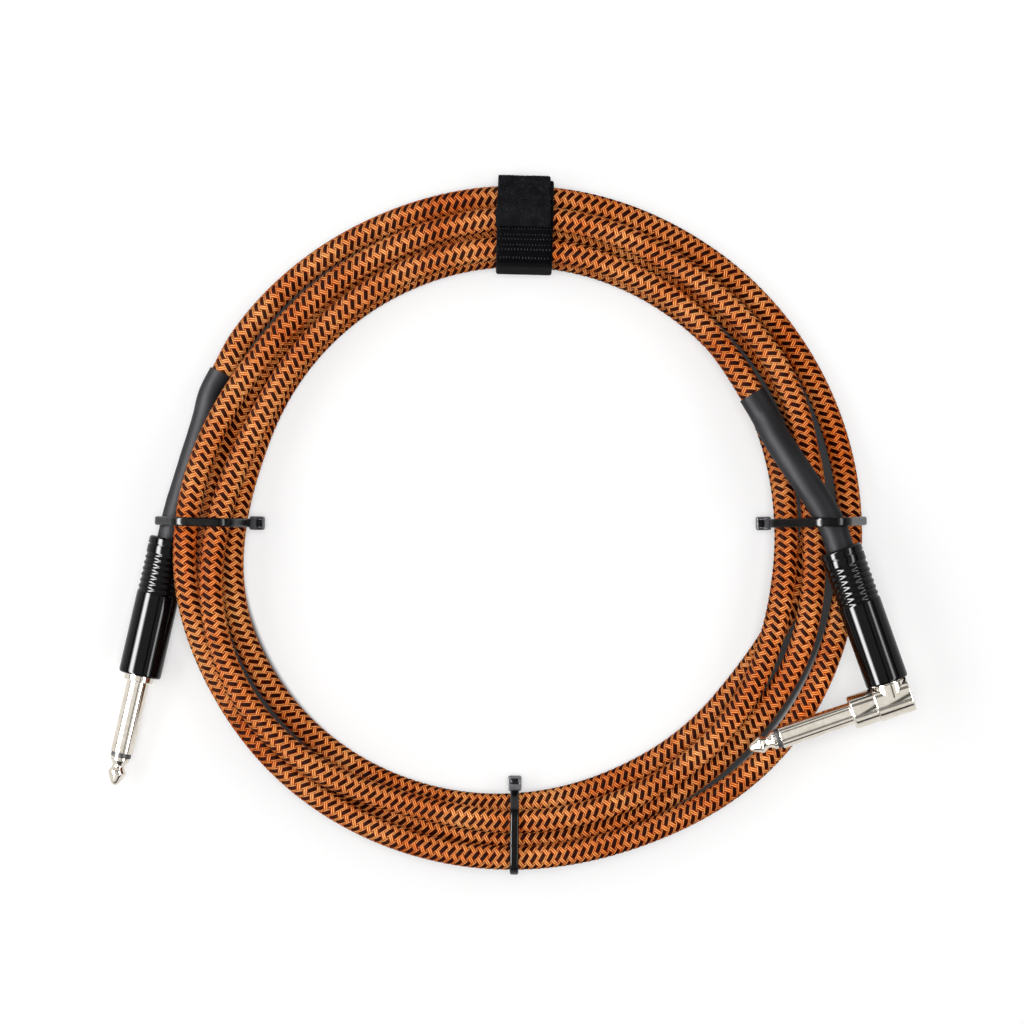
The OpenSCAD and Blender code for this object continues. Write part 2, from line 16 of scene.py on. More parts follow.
import bpy
import numpy as np
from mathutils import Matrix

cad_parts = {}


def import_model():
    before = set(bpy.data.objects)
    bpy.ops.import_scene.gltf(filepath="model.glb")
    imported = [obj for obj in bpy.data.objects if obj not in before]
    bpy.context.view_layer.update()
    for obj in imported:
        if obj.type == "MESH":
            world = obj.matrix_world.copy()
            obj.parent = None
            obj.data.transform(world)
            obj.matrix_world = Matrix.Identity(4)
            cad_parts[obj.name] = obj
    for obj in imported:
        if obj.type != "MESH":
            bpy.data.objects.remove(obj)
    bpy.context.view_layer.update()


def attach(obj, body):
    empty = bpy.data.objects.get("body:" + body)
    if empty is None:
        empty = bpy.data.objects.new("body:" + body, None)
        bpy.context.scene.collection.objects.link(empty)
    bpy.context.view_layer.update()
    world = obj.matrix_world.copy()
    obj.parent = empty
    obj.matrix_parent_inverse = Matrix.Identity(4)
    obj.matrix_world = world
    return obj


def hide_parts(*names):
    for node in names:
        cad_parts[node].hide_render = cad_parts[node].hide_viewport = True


logging.basicConfig(level=logging.INFO, format="%(message)s")
LOG = logging.getLogger("cable")

MM = 0.001
FULL_TURN = 2.0 * np.pi
Row = tuple[float, float, float]
Socket = bpy.types.NodeSocket


class Body(str, Enum):
    """The bodies that pieces ride on."""

    CABLE = "cable"
    STRAIGHT_BARREL = "straight_barrel"
    ANGLE_BARREL = "angle_barrel"
    STRAP_TAB = "strap_tab"


class Slot(str, Enum):
    """The material slots of the part's record."""

    CORD = "woven_cord"
    NICKEL = "nickel"
    BARREL = "black_barrel"
    SLEEVE = "shrink_sleeve"
    INSULATOR = "black_insulator"
    NYLON = "black_nylon"
    LOOP = "loop_fabric"
    HOOK = "hook_fabric"


# ---------------------------------------------------------------- small maths


def ease(x: np.ndarray, start: float, end: float) -> np.ndarray:
    """Share risen at x of a smooth rise from 0 at start to 1 at end."""
    share = np.clip((np.asarray(x, float) - start) / (end - start), 0.0, 1.0)
    return share * share * (3.0 - 2.0 * share)


def swell(x: np.ndarray, middle: float, reach: float) -> np.ndarray:
    """Height at x of half a cosine wave: 1 at middle, 0 at reach to each side."""
    off = np.abs(np.asarray(x, float) - middle)
    return np.where(off < reach, (1.0 + np.cos(np.pi * off / reach)) / 2.0, 0.0)


def polar(radius: np.ndarray, bearing: np.ndarray, height: np.ndarray) -> np.ndarray:
    """Points at distances from the z axis, bearings and heights."""
    x, y = radius * np.sin(np.radians(bearing)), radius * np.cos(np.radians(bearing))
    return np.stack(np.broadcast_arrays(x, y, height), axis=-1).astype(float)


def unit(v: np.ndarray) -> np.ndarray:
    """The same directions along the last axis, each of length 1."""
    return v / np.linalg.norm(v, axis=-1, keepdims=True)


def ripple(x: np.ndarray, seed: int, waves: Sequence[float]) -> np.ndarray:
    """Mean of sine waves of given lengths, with phases picked by the seed."""
    phases = np.random.default_rng(seed).uniform(0.0, FULL_TURN, len(waves))
    return sum(np.sin(FULL_TURN * x / w + p) for w, p in zip(waves, phases)) / len(waves)


def round_angles(count: int) -> np.ndarray:
    """Even angles once round, in radians."""
    return np.linspace(0.0, FULL_TURN, count, endpoint=False)


def distances(points: np.ndarray) -> np.ndarray:
    """Distance along a polyline of each of its points."""
    return np.concatenate([[0.0], np.cumsum(np.linalg.norm(np.diff(points, axis=0), axis=1))])


def read(rows: np.ndarray, at: np.ndarray, where: np.ndarray) -> np.ndarray:
    """Read rows, one for each distance in at, at the distances where."""
    return np.stack([np.interp(where, at, rows[:, k]) for k in range(rows.shape[1])], -1)


def smooth_line(points: np.ndarray, step: float) -> np.ndarray:
    """Run a smooth curve through points and cut it into even steps.

    Each span is a cubic whose slope at a point is the mean of the slopes to both sides,
    weighted by the other side's length.

    Args:
        points: the points, one a row.
        step: distance between the points that come back.

    Returns:
        Points at even distances along the curve.
    """
    span = np.linalg.norm(np.diff(points, axis=0), axis=1)
    at = distances(points)
    slope = np.diff(points, axis=0) / span[:, None]
    inner = slope[:-1] * span[1:, None] + slope[1:] * span[:-1, None]
    inner = inner / (span[:-1] + span[1:])[:, None]
    slopes = np.vstack([slope[:1], inner, slope[-1:]])
    fine = np.linspace(0.0, at[-1], int(at[-1] / (step / 4.0)))
    i = np.clip(np.searchsorted(at, fine, side="right") - 1, 0, len(span) - 1)
    t, h = ((fine - at[i]) / span[i])[:, None], span[i][:, None]
    curve = (
        (2 * t**3 - 3 * t**2 + 1) * points[i] + (t**3 - 2 * t**2 + t) * h * slopes[i]
        + (3 * t**2 - 2 * t**3) * points[i + 1] + (t**3 - t**2) * h * slopes[i + 1]
    )
    run = distances(curve)
    wanted = np.linspace(0.0, run[-1], max(2, int(round(run[-1] / step)) + 1))
    return read(curve, run, wanted)


@dataclass(frozen=True)
class Placing:
    """A turn and a shift from a piece's own frame to the part's."""

    turn: np.ndarray
    shift: np.ndarray

    @staticmethod
    def turning(axis: str, degrees: float) -> "Placing":
        """A turn round one axis.

        Args:
            axis: "x", "y" or "z".
            degrees: angle of the turn.

        Returns:
            The placing.
        """
        c, s = math.cos(math.radians(degrees)), math.sin(math.radians(degrees))
        i, j = {"x": (1, 2), "y": (2, 0), "z": (0, 1)}[axis]
        turn = np.eye(3)
        turn[i, i] = turn[j, j] = c
        turn[i, j], turn[j, i] = -s, s
        return Placing(turn, np.zeros(3))

    @staticmethod
    def moving(x: float, y: float, z: float) -> "Placing":
        """A shift by x, y and z."""
        return Placing(np.eye(3), np.array([x, y, z], float))

    def __matmul__(self, inner: "Placing") -> "Placing":
        """Do the inner placing first, then this one."""
        return Placing(self.turn @ inner.turn, self.turn @ inner.shift + self.shift)

    def __call__(self, points: np.ndarray) -> np.ndarray:
        """Carry points over."""
        return points @ self.turn.T + self.shift


# ---------------------------------------------------------------- meshes


@dataclass
class Skin:
    """A net of points that closes round its columns: a tube, a lathed body or a ring.

    Attributes:
        net: rows x columns x 3 points. Columns always join end to end.
        ring: whether the rows join end to end too. If not, each end gets a cap.
        strips: material number of each column of faces.
        grain: distances along and across for the "grain" map, each rows x columns.
        bake_rows: number of rows that the bake map is cut into.
    """

    net: np.ndarray
    ring: bool = False
    strips: Optional[np.ndarray] = None
    grain: Optional[tuple[np.ndarray, np.ndarray]] = None
    bake_rows: int = 1

    def cells(self) -> tuple[np.ndarray, np.ndarray]:
        """Row and column of each quad."""
        rows, cols = self.net.shape[:2]
        return np.meshgrid(np.arange(rows - (not self.ring)), np.arange(cols), indexing="ij")

    def faces(self) -> tuple[np.ndarray, np.ndarray]:
        """Number the corners of the net's faces.

        Returns:
            The quads, and the triangles of the caps.
        """
        rows, cols = self.net.shape[:2]
        i, k = self.cells()
        n, m = (i + 1) % rows, (k + 1) % cols
        quads = np.stack([i * cols + k, i * cols + m, n * cols + m, n * cols + k], -1)
        quads = quads.reshape(-1, 4)
        if self.ring:
            return quads, np.zeros((0, 3), int)
        k = np.arange(cols)
        m, last = (k + 1) % cols, (rows - 1) * cols
        near = np.stack([m, k, np.full(cols, rows * cols)], 1)
        far = np.stack([last + k, last + m, np.full(cols, rows * cols + 1)], 1)
        return quads, np.vstack([near, far])

    def corners(self) -> np.ndarray:
        """List the net's points, with the middles of the caps at the end."""
        middles = [] if self.ring else [self.net[0].mean(0), self.net[-1].mean(0)]
        return np.vstack([self.net.reshape(-1, 3), *middles])

    def bake_uv(self) -> np.ndarray:
        """Lay the quads out in rows in the unit square, with the caps as fans above.

        Returns:
            The map point of each loop.
        """
        rows, cols = self.net.shape[:2]
        i, k = self.cells()
        lines, margin = self.bake_rows, 0.02
        per_line = math.ceil(len(i) / lines)
        line, place = i // per_line, i % per_line
        du, dv = np.array([0, 0, 1, 1]), np.array([0, 1, 1, 0])
        high = lines + 0.06
        u = (place[..., None] + du + margin) / (per_line + 2 * margin)
        v = (line[..., None] + (k[..., None] + dv + 0.15) / (cols + 0.3)) / high
        quads = np.stack([u, v], -1).reshape(-1, 2)
        if self.ring:
            return quads
        angle, size = round_angles(cols), margin / high
        after = FULL_TURN * (np.arange(cols) + 1) / cols

        def fan(first: np.ndarray, second: np.ndarray, across: float) -> np.ndarray:
            """Lay a cap's triangles round a middle.

            Args:
                first: angle of each triangle's first corner.
                second: angle of its second corner.
                across: place of the middle across the square.

            Returns:
                Map points of the corners.
            """
            mid = np.array([across, lines / high + size])
            rim = [np.stack([np.cos(a), np.sin(a)], 1) * size + mid for a in (first, second)]
            return np.stack([*rim, np.repeat(mid[None], cols, 0)], 1).reshape(-1, 2)

        return np.vstack([quads, fan(after, angle, 0.1), fan(angle, after, 0.3)])

    def grain_uv(self, quads: np.ndarray, tris: np.ndarray) -> np.ndarray:
        """Give each loop its distances along and across.

        Args:
            quads: corner numbers of the quads.
            tris: corner numbers of the triangles.

        Returns:
            The distances in metres, 0 on the caps.
        """
        along, across = (g.reshape(-1) for g in self.grain)
        cols = self.net.shape[1]
        uv = np.stack([along[quads], across[quads]], -1)
        turnover = np.arange(len(quads)) % cols == cols - 1
        step = float(np.abs(np.diff(self.grain[1][0])).mean())
        uv[turnover, 1:3, 1] = uv[turnover, 0:1, 1] + step
        return np.vstack([uv.reshape(-1, 2), np.zeros((tris.size, 2))]) * MM


def volume(corners: np.ndarray, quads: np.ndarray, tris: np.ndarray) -> float:
    """Work out the signed volume that faces close in.

    Args:
        corners: the points.
        quads: corner numbers of four-sided faces.
        tris: corner numbers of three-sided faces.

    Returns:
        The volume, negative when the faces look inwards.
    """
    halves = np.vstack([quads[:, [0, 1, 2]], quads[:, [0, 2, 3]], tris])
    a, b, c = (corners[halves[:, k]] for k in range(3))
    return float(np.einsum("ij,ij->i", a, np.cross(b, c)).sum() / 6.0)


def reversed_loops(values: np.ndarray, fours: int) -> np.ndarray:
    """Loop values of faces that are turned over, the first so many loops in fours."""
    parts = values[:fours].reshape(-1, 4, 2), values[fours:].reshape(-1, 3, 2)
    return np.vstack([part[:, ::-1].reshape(-1, 2) for part in parts])


def mesh_of(name: str, skins: Sequence[Skin], sharp: Optional[float]) -> bpy.types.Mesh:
    """Build one mesh of several closed skins.

    Args:
        name: the mesh's name.
        skins: the skins, in millimetres.
        sharp: edges that turn by more than this many degrees stay sharp, None for none.

    Returns:
        The mesh, in metres, with its faces outward.
    """
    corners, loops, sizes, strips, bake, grain = [], [], [], [], [], []
    count = 0
    for number, skin in enumerate(skins):
        points = skin.corners()
        quads, tris = skin.faces()
        uv = skin.bake_uv()
        marks = skin.grain_uv(quads, tris) if skin.grain else np.zeros((len(uv), 2))
        if volume(points, quads, tris) < 0.0:
            quads, tris = quads[:, ::-1], tris[:, ::-1]
            uv, marks = (reversed_loops(a, quads.size) for a in (uv, marks))
        uv[:, 1] = (uv[:, 1] + number) / len(skins)
        corners.append(points)
        loops += [quads.ravel() + count, tris.ravel() + count]
        sizes += [np.full(len(quads), 4), np.full(len(tris), 3)]
        cols = skin.net.shape[1]
        strip = np.zeros(cols, int) if skin.strips is None else skin.strips
        strips += [np.tile(strip, len(quads) // cols), np.full(len(tris), strip[0])]
        bake.append(uv)
        grain.append(marks)
        count += len(points)
    mesh = bpy.data.meshes.new(name)
    loop_list, size_list = np.concatenate(loops), np.concatenate(sizes)
    starts = np.concatenate([[0], np.cumsum(size_list)[:-1]])
    mesh.vertices.add(count)
    mesh.loops.add(len(loop_list))
    mesh.polygons.add(len(size_list))
    mesh.vertices.foreach_set("co", (np.vstack(corners) * MM).astype(np.float32).ravel())
    mesh.loops.foreach_set("vertex_index", loop_list.astype(np.int32))
    mesh.polygons.foreach_set("loop_start", starts.astype(np.int32))
    mesh.polygons.foreach_set("material_index", np.concatenate(strips).astype(np.int32))
    mesh.update(calc_edges=True)
    for layer, values in (("OFBake", bake), ("grain", grain)):
        flat = np.vstack(values).astype(np.float32).ravel()
        mesh.uv_layers.new(name=layer).data.foreach_set("uv", flat)
    mesh.polygons.foreach_set("use_smooth", np.ones(len(size_list), bool))
    if sharp is not None:
        mesh.set_sharp_from_angle(angle=math.radians(sharp))
    mesh.validate()
    return mesh


def add_object(name: str, data: bpy.types.ID) -> bpy.types.Object:
    """Put something into the scene.

    Args:
        name: its object's name.
        data: its mesh, lamp or camera.

    Returns:
        Its object.
    """
    made = bpy.data.objects.new(name, data)
    bpy.context.scene.collection.objects.link(made)
    return made


def add_piece(name: str, skins: Sequence[Skin], finishes: Sequence["Finish"], slot: Slot,
              *nodes: str, body: Body = Body.CABLE,
              sharp: Optional[float] = 40.0) -> bpy.types.Object:
    """Make a piece of the part.

    Args:
        name: the piece's name.
        skins: its closed skins.
        finishes: its finishes, in the order of the skins' material numbers.
        slot: the record's slot that it takes its finish from; not used.
        nodes: the CAD nodes that it stands for.
        body: the body that it rides on.
        sharp: edges that turn by more than this many degrees stay sharp, None for none.

    Returns:
        The piece's object.
    """
    piece = add_object(name, mesh_of(name, skins, sharp))
    for finish in finishes:
        piece.data.materials.append(finish.material())
    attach(piece, body.value)
    if nodes:
        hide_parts(*nodes)
    LOG.info("%s: %d faces", name, len(piece.data.polygons))
    return piece


@dataclass
class Frame:
    """A line with a level direction and an upward one at each of its points.

    Attributes:
        at: distance along the line of each point.
        line: the points.
        right: level directions, square to the line.
        up: directions square to both.
    """

    at: np.ndarray
    line: np.ndarray
    right: np.ndarray
    up: np.ndarray

    @staticmethod
    def along(line: np.ndarray) -> "Frame":
        """Work out the frame of a line.

        Args:
            line: points at even steps.

        Returns:
            The frame.
        """
        heading = unit(np.gradient(line, axis=0))
        right = unit(np.cross(heading, [0.0, 0.0, 1.0]))
        return Frame(distances(line), line, right, np.cross(right, heading))

    def place(self, at: np.ndarray, turn: np.ndarray, radius: np.ndarray) -> np.ndarray:
        """Find the points at a distance along, an angle round and a radius off the line.

        A point below the line is drawn up towards it where the line runs lower than the
        radius, so that what lies on the surface flattens and never sinks in.

        Args:
            at: distances along.
            turn: angles round, from right to up, in radians.
            radius: distances off the line.

        Returns:
            The points, along a new last axis.
        """
        middle, right, up = (read(a, self.at, at) for a in (self.line, self.right, self.up))
        off = (np.cos(turn) * radius)[..., None] * right
        off += (np.sin(turn) * radius)[..., None] * up
        room = np.minimum(1.0, middle[..., 2] / (np.abs(radius) + 0.02))
        off[..., 2] = np.where(off[..., 2] < 0.0, off[..., 2] * room, off[..., 2])
        return middle + off


def tube(line: np.ndarray, section: Callable[[np.ndarray, np.ndarray], np.ndarray],
         sides: int) -> np.ndarray:
    """Sweep rings along a line: each point stands off it by the section's radius.

    Args:
        line: points of the line.
        section: gives the radius for (distance along, angle in radians).
        sides: points in a ring.

    Returns:
        A net of points.
    """
    frame = Frame.along(line)
    at, turn = np.meshgrid(frame.at, round_angles(sides), indexing="ij")
    return frame.place(at, turn, section(at, turn))


def softened(profile: Sequence[Row], closed: bool) -> np.ndarray:
    """Round a profile's corners: each becomes a short curve between points near it.

    The curve is (1-t)^2 p + 2t(1-t) c + t^2 q, where p and q lie on the two edges at the
    corner's own radius from the corner c, and never beyond 45% of the edge.

    Args:
        profile: (radius, height, rounding) of each corner.
        closed: whether the last corner joins the first.

    Returns:
        (radius, height) of each row.
    """
    table = np.array(profile, float)
    c, cut = table[:, :2], table[:, 2:]
    ends = []
    for shift in (1, -1):
        edge = np.roll(c, shift, 0) - c
        length = np.linalg.norm(edge, axis=1, keepdims=True)
        ends.append(c + edge / length * np.minimum(cut, 0.45 * length))
    p, q = ends
    if not closed:
        p[[0, -1]] = q[[0, -1]] = c[[0, -1]]
    t = np.linspace(0.0, 1.0, 5)[None, :, None]
    bends = (1 - t) ** 2 * p[:, None] + 2 * t * (1 - t) * c[:, None] + t**2 * q[:, None]
    rows = bends.reshape(-1, 2)
    keep = np.linalg.norm(np.diff(rows, axis=0, append=rows[:1]), axis=1) > 1e-4
    keep[-1] |= not closed
    return rows[keep]


def lathe(profile: Sequence[Row], sides: int, place: Placing, ring: bool = True) -> Skin:
    """Turn a softened profile round z: x = r cos a, y = r sin a, z = height.

    Args:
        profile: (radius, height, rounding) of each corner.
        sides: points round.
        place: carries the body to where it belongs.
        ring: whether the profile closes, as round a bore.

    Returns:
        The skin.
    """
    rows, angle = softened(profile, ring), round_angles(sides)
    radius, height = rows[:, :1], rows[:, 1:]
    net = [radius * np.cos(angle), radius * np.sin(angle), height + 0.0 * angle]
    return Skin(place(np.stack(net, axis=-1)), ring=ring)


# ---------------------------------------------------------------- finishes


def linear(code: str) -> tuple[float, float, float, float]:
    """Turn an sRGB colour into a linear one.

    Args:
        code: the colour, such as "#E9761C".

    Returns:
        Linear red, green, blue and 1.
    """
    parts = [int(code[i:i + 2], 16) / 255.0 for i in (1, 3, 5)]
    lin = [c / 12.92 if c <= 0.04045 else ((c + 0.055) / 1.055) ** 2.4 for c in parts]
    return lin[0], lin[1], lin[2], 1.0


class Nodes:
    """The nodes of a material or world, with short ways to add and join them."""

    def __init__(self, owner: Union[bpy.types.Material, bpy.types.World]) -> None:
        """Start from the owner's own output and shader.

        Args:
            owner: the material or world.
        """
        owner.use_nodes = True
        kinds = ("BSDF_PRINCIPLED", "BACKGROUND")
        self.owner, self.tree = owner, owner.node_tree
        self.shader = next(n for n in self.tree.nodes if n.type in kinds)

    def add(self, kind: str, links: Optional[dict] = None, **settings: object) -> bpy.types.Node:
        """Add a node.

        Args:
            kind: the node's type.
            links: input name or number -> output socket, or a value.
            settings: the node's own settings.

        Returns:
            The node.
        """
        node = self.tree.nodes.new(kind)
        for key, value in settings.items():
            setattr(node, key, value)
        self.set(node, links or {})
        return node

    def set(self, node: bpy.types.Node, links: dict) -> None:
        """Join sockets to a node's inputs, or set the inputs' own values.

        Args:
            node: the node.
            links: input name or number -> output socket, or a value.
        """
        for key, value in links.items():
            if isinstance(value, Socket):
                self.tree.links.new(value, node.inputs[key])
            else:
                node.inputs[key].default_value = value

    def ramp(self, factor: Socket, places: Sequence[float],
             shades: Sequence[str]) -> Socket:
        """Colour by a factor.

        Args:
            factor: the socket that drives it.
            places: the factor at each shade.
            shades: the sRGB colours.

        Returns:
            The colour socket.
        """
        node = self.add("ShaderNodeValToRGB", {0: factor})
        elements = node.color_ramp.elements
        elements[0].position, elements[0].color = places[0], linear(shades[0])
        elements[1].position, elements[1].color = places[-1], linear(shades[-1])
        for place, code in zip(places[1:-1], shades[1:-1]):
            elements.new(place).color = linear(code)
        return node.outputs[0]

    def spread(self, factor: Socket, low: float, high: float) -> Socket:
        """Spread a factor of 0 to 1 over a range."""
        return self.add("ShaderNodeMapRange", {0: factor, 3: low, 4: high}).outputs[0]

    def coords(self, *scale: float, grain: bool = False) -> Socket:
        """Coordinates in millimetres times a scale.

        Args:
            scale: factor along each axis or along all, in waves a millimetre.
            grain: take the "grain" map, not the object's own coordinates.

        Returns:
            The vector socket.
        """
        if grain:
            source = self.add("ShaderNodeUVMap", uv_map="grain").outputs[0]
        else:
            source = self.add("ShaderNodeTexCoord").outputs["Object"]
        size = tuple(s / MM for s in (scale * 3)[:3])
        return self.add("ShaderNodeMapping", {"Vector": source, "Scale": size}).outputs[0]

    def math(self, operation: str, *terms: object) -> Socket:
        """Reckon with sockets or numbers."""
        return self.add("ShaderNodeMath", dict(enumerate(terms)), operation=operation).outputs[0]

    def noise(self, vector: Socket, detail: float) -> Socket:
        """Noise over a vector, with so many finer layers."""
        links = {"Vector": vector, "Scale": 1.0, "Detail": detail}
        return self.add("ShaderNodeTexNoise", links).outputs[0]

    def bump(self, height: Socket, depth: float, **below: Socket) -> Socket:
        """Turn a height of so many millimetres at 1 into a normal, or bend one further."""
        links = {"Height": height, "Distance": depth * MM, "Strength": 1.0, **below}
        return self.add("ShaderNodeBump", links).outputs[0]


MADE: dict[str, bpy.types.Material] = {}


@dataclass(frozen=True)
class Finish:
    """What every finish has: a name, and a material that is made once."""

    name: str

    def material(self) -> bpy.types.Material:
        """Make the material the first time that it is asked for.

        Returns:
            The material.
        """
        if self.name not in MADE:
            nodes = Nodes(bpy.data.materials.new(self.name))
            nodes.set(nodes.shader, self.sockets(nodes))
            MADE[self.name] = nodes.owner
        return MADE[self.name]

    def sockets(self, nodes: Nodes) -> dict:
        """Make the material's nodes and say what each input of its shader takes."""
        raise NotImplementedError


@dataclass(frozen=True)
class FilamentDyeAndCrestLight(Finish):
    """A bundle of dyed synthetic filaments that run along the grain.

    Where it stands up in ridges, light and shade are painted into its colour: a painted highlight
    along the ridge tops and painted shade at their foot.
    The share is 1 on a ridge top and falls in a straight line to 0 at half a ridge's width.

    Attributes:
        shades: its colours from dark to light; with ridges, from painted shade through the dye's
            colour to painted highlight.
        ridge: distance of the ridge tops, where the painted highlight lies, from the yarn's
            middle, and half a ridge's width,
        in millimetres, or None where the filaments lie flat and no light or shade is painted.
        filaments: filaments a millimetre across.
    """

    shades: tuple[str, str, str, str]
    ridge: Optional[tuple[float, float]] = None
    filaments: float = 9.0

    def painted_crest_light(self, nodes: Nodes) -> Socket:
        """Work out how far up a ridge a point is, which sets its painted highlight and shade.

        Args:
            nodes: the material's nodes.

        Returns:
            The share, 1 on a ridge top, where the painted highlight is palest.
        """
        split = nodes.add("ShaderNodeSeparateXYZ", {0: nodes.coords(1.0, grain=True)})
        share = nodes.math("ABSOLUTE", split.outputs["Y"])
        share = nodes.math("ABSOLUTE", nodes.math("SUBTRACT", share, self.ridge[0]))
        return nodes.math("SUBTRACT", 1.0, nodes.math("DIVIDE", share, self.ridge[1]))

    def sockets(self, nodes: Nodes) -> dict:
        """Colour the filaments by painted highlight and shade on the ridges, and by streaks along
        the grain.

        Args:
            nodes: the material's nodes.

        Returns:
            What each input of the shader takes.
        """
        streaks = nodes.noise(nodes.coords(0.35, self.filaments, 1.0, grain=True), 2.0)
        patches = nodes.noise(nodes.coords(0.05), 3.0)
        mixed = nodes.math("MULTIPLY", nodes.math("ADD", streaks, patches), 0.5)
        places = (0.3, 0.45, 0.56, 0.68)
        if self.ridge:
            uneven = nodes.math("MULTIPLY", nodes.math("SUBTRACT", mixed, 0.5), 1.6)
            # painted light: pale on the ridge tops, painted shade at their foot, broken up by the
            # streaks
            mixed = nodes.math("ADD", self.painted_crest_light(nodes), uneven)
            places = (0.05, 0.38, 0.68, 1.0)
        return {
            "Base Color": nodes.ramp(mixed, places, self.shades), "Roughness": 0.7,
            "Specular IOR Level": 0.02, "Normal": nodes.bump(streaks, 0.05),
        }


@dataclass(frozen=True)
class Plastic(Finish):
    """Moulded or extruded plastic with a faint mottle.

    Attributes:
        shades: its darker and its lighter colour.
        roughness: lowest and highest roughness.
        grain_size: size of the mottle.
        depth: depth of the surface's unevenness.
        specular: strength of its mirror reflection.
    """

    shades: tuple[str, str]
    roughness: tuple[float, float]
    grain_size: float
    depth: float
    specular: float = 0.5

    def sockets(self, nodes: Nodes) -> dict:
        """Mottle colour and roughness by one noise.

        Args:
            nodes: the material's nodes.

        Returns:
            What each input of the shader takes.
        """
        mottle = nodes.noise(nodes.coords(1.0 / self.grain_size), 3.0)
        return {
            "Base Color": nodes.ramp(mottle, (0.35, 0.65), self.shades),
            "Roughness": nodes.spread(mottle, *self.roughness),
            "Specular IOR Level": self.specular, "Normal": nodes.bump(mottle, self.depth),
        }


@dataclass(frozen=True)
class Metal(Finish):
    """Bare or plated metal, with its darker and lighter colour and range of roughness."""

    shades: tuple[str, str]
    roughness: tuple[float, float]

    def sockets(self, nodes: Nodes) -> dict:
        """Vary the plating's colour and gloss a little.

        Args:
            nodes: the material's nodes.

        Returns:
            What each input of the shader takes.
        """
        haze, marks = nodes.noise(nodes.coords(0.35), 4.0), nodes.noise(nodes.coords(2.5), 3.0)
        return {
            "Metallic": 1.0, "Base Color": nodes.ramp(haze, (0.3, 0.7), self.shades),
            "Roughness": nodes.spread(marks, *self.roughness),
            "Normal": nodes.bump(haze, 0.002),
        }


@dataclass(frozen=True)
class ShrinkTubing(Finish):
    """Satin heat-shrink tubing, a little paler where it is stretched."""

    def sockets(self, nodes: Nodes) -> dict:
        """Lay soft patches and fine grain over the tubing.

        Args:
            nodes: the material's nodes.

        Returns:
            What each input of the shader takes.
        """
        patches, grain = nodes.noise(nodes.coords(0.12), 3.0), nodes.noise(nodes.coords(3.0), 2.0)
        return {
            "Base Color": nodes.ramp(patches, (0.3, 0.7), ("#111113", "#1A1A1C")),
            "Roughness": nodes.spread(grain, 0.42, 0.6), "Specular IOR Level": 0.08,
            "Normal": nodes.bump(grain, 0.01, Normal=nodes.bump(patches, 0.08)),
        }


@dataclass(frozen=True)
class LoopPile(Finish):
    """Brushed nylon loops: dark, dull, with a fine fuzz, from one shade to another."""

    shades: tuple[str, str]

    def sockets(self, nodes: Nodes) -> dict:
        """Mottle the pile and raise its fuzz.

        Args:
            nodes: the material's nodes.

        Returns:
            What each input of the shader takes.
        """
        fuzz, wear = nodes.noise(nodes.coords(4.0), 4.0), nodes.noise(nodes.coords(0.3), 2.0)
        mixed = nodes.math("MULTIPLY", fuzz, wear)
        return {
            "Base Color": nodes.ramp(mixed, (0.12, 0.4), self.shades), "Roughness": 0.9,
            "Specular IOR Level": 0.01, "Normal": nodes.bump(fuzz, 0.12),
        }


# dark red painted shade at the ridges' foot, the dyed orange, then a pale painted highlight on
# the ridge tops
ORANGE_SHADE_TO_HIGHLIGHT = ("#6C1400", "#BC3E04", "#F28226", "#FFD48C")
ORANGE_EDGE = FilamentDyeAndCrestLight("orange_edge_filament_crest_lit", ORANGE_SHADE_TO_HIGHLIGHT, (0.74, 0.24))
ORANGE_LINE = FilamentDyeAndCrestLight("orange_line_filament_crest_lit", ORANGE_SHADE_TO_HIGHLIGHT, (0.28, 0.37))
BLACK_YARN = FilamentDyeAndCrestLight("black_filament", ("#0A0100", "#180400", "#280A03", "#4A2C1A"))
WEBBING = FilamentDyeAndCrestLight("strap_webbing", ("#030304", "#050506", "#09090A", "#121214"))
CORE = Plastic("jacket_core", ("#0E0301", "#1A0602"), (0.6, 0.8), 2.0, 0.02, 0.02)
LACQUER = Plastic("black_lacquer", ("#050506", "#08080A"), (0.06, 0.12), 6.0, 0.004, 0.15)
INSULATOR = Plastic("black_insulator", ("#141414", "#202020"), (0.35, 0.5), 1.5, 0.01)
WHITE = Plastic("white_polymer", ("#D0CEC6", "#E0DED8"), (0.4, 0.55), 3.0, 0.01)
NYLON = Plastic("moulded_nylon", ("#030304", "#070708"), (0.15, 0.25), 1.2, 0.012, 0.16)
# the tie head is the band's black nylon, painted lighter grey: a painted highlight
NYLON_HEAD_PAINTED_LIGHT = Plastic("moulded_nylon_head_painted_light", ("#222226", "#2E2E33"), (0.4, 0.5), 1.2, 0.012)
TAPE = Plastic("hook_tape", ("#010102", "#040405"), (0.7, 0.8), 0.6, 0.03, 0.01)
# the hooks are black nylon like the tape, painted lighter grey as painted highlights where light
# catches them
HOOKS_PAINTED_HIGHLIGHT = Plastic("hook_filament_painted_highlight", ("#1C1C20", "#3E3E44"), (0.4, 0.6), 0.6, 0.0, 0.2)
NICKEL = Metal("nickel_plate", ("#D0C8BA", "#E0D9CE"), (0.07, 0.16))
BRASS = Metal("stamped_brass", ("#B08D42", "#C9A757"), (0.2, 0.35))
COPPER = Metal("bare_copper", ("#B0653A", "#C97D50"), (0.25, 0.4))
TUBING = ShrinkTubing("shrink_tubing")
CLOTH = LoopPile("loop_cloth", ("#0A0A0B", "#202024"))
# the pile is the cloth's black nylon, painted lighter grey up to a sheen tint: painted sheen on
# the loops
PILE_PAINTED_SHEEN = LoopPile("loop_pile_painted_sheen", ("#141416", "#4A4A50"))


# ---------------------------------------------------------------- the cord


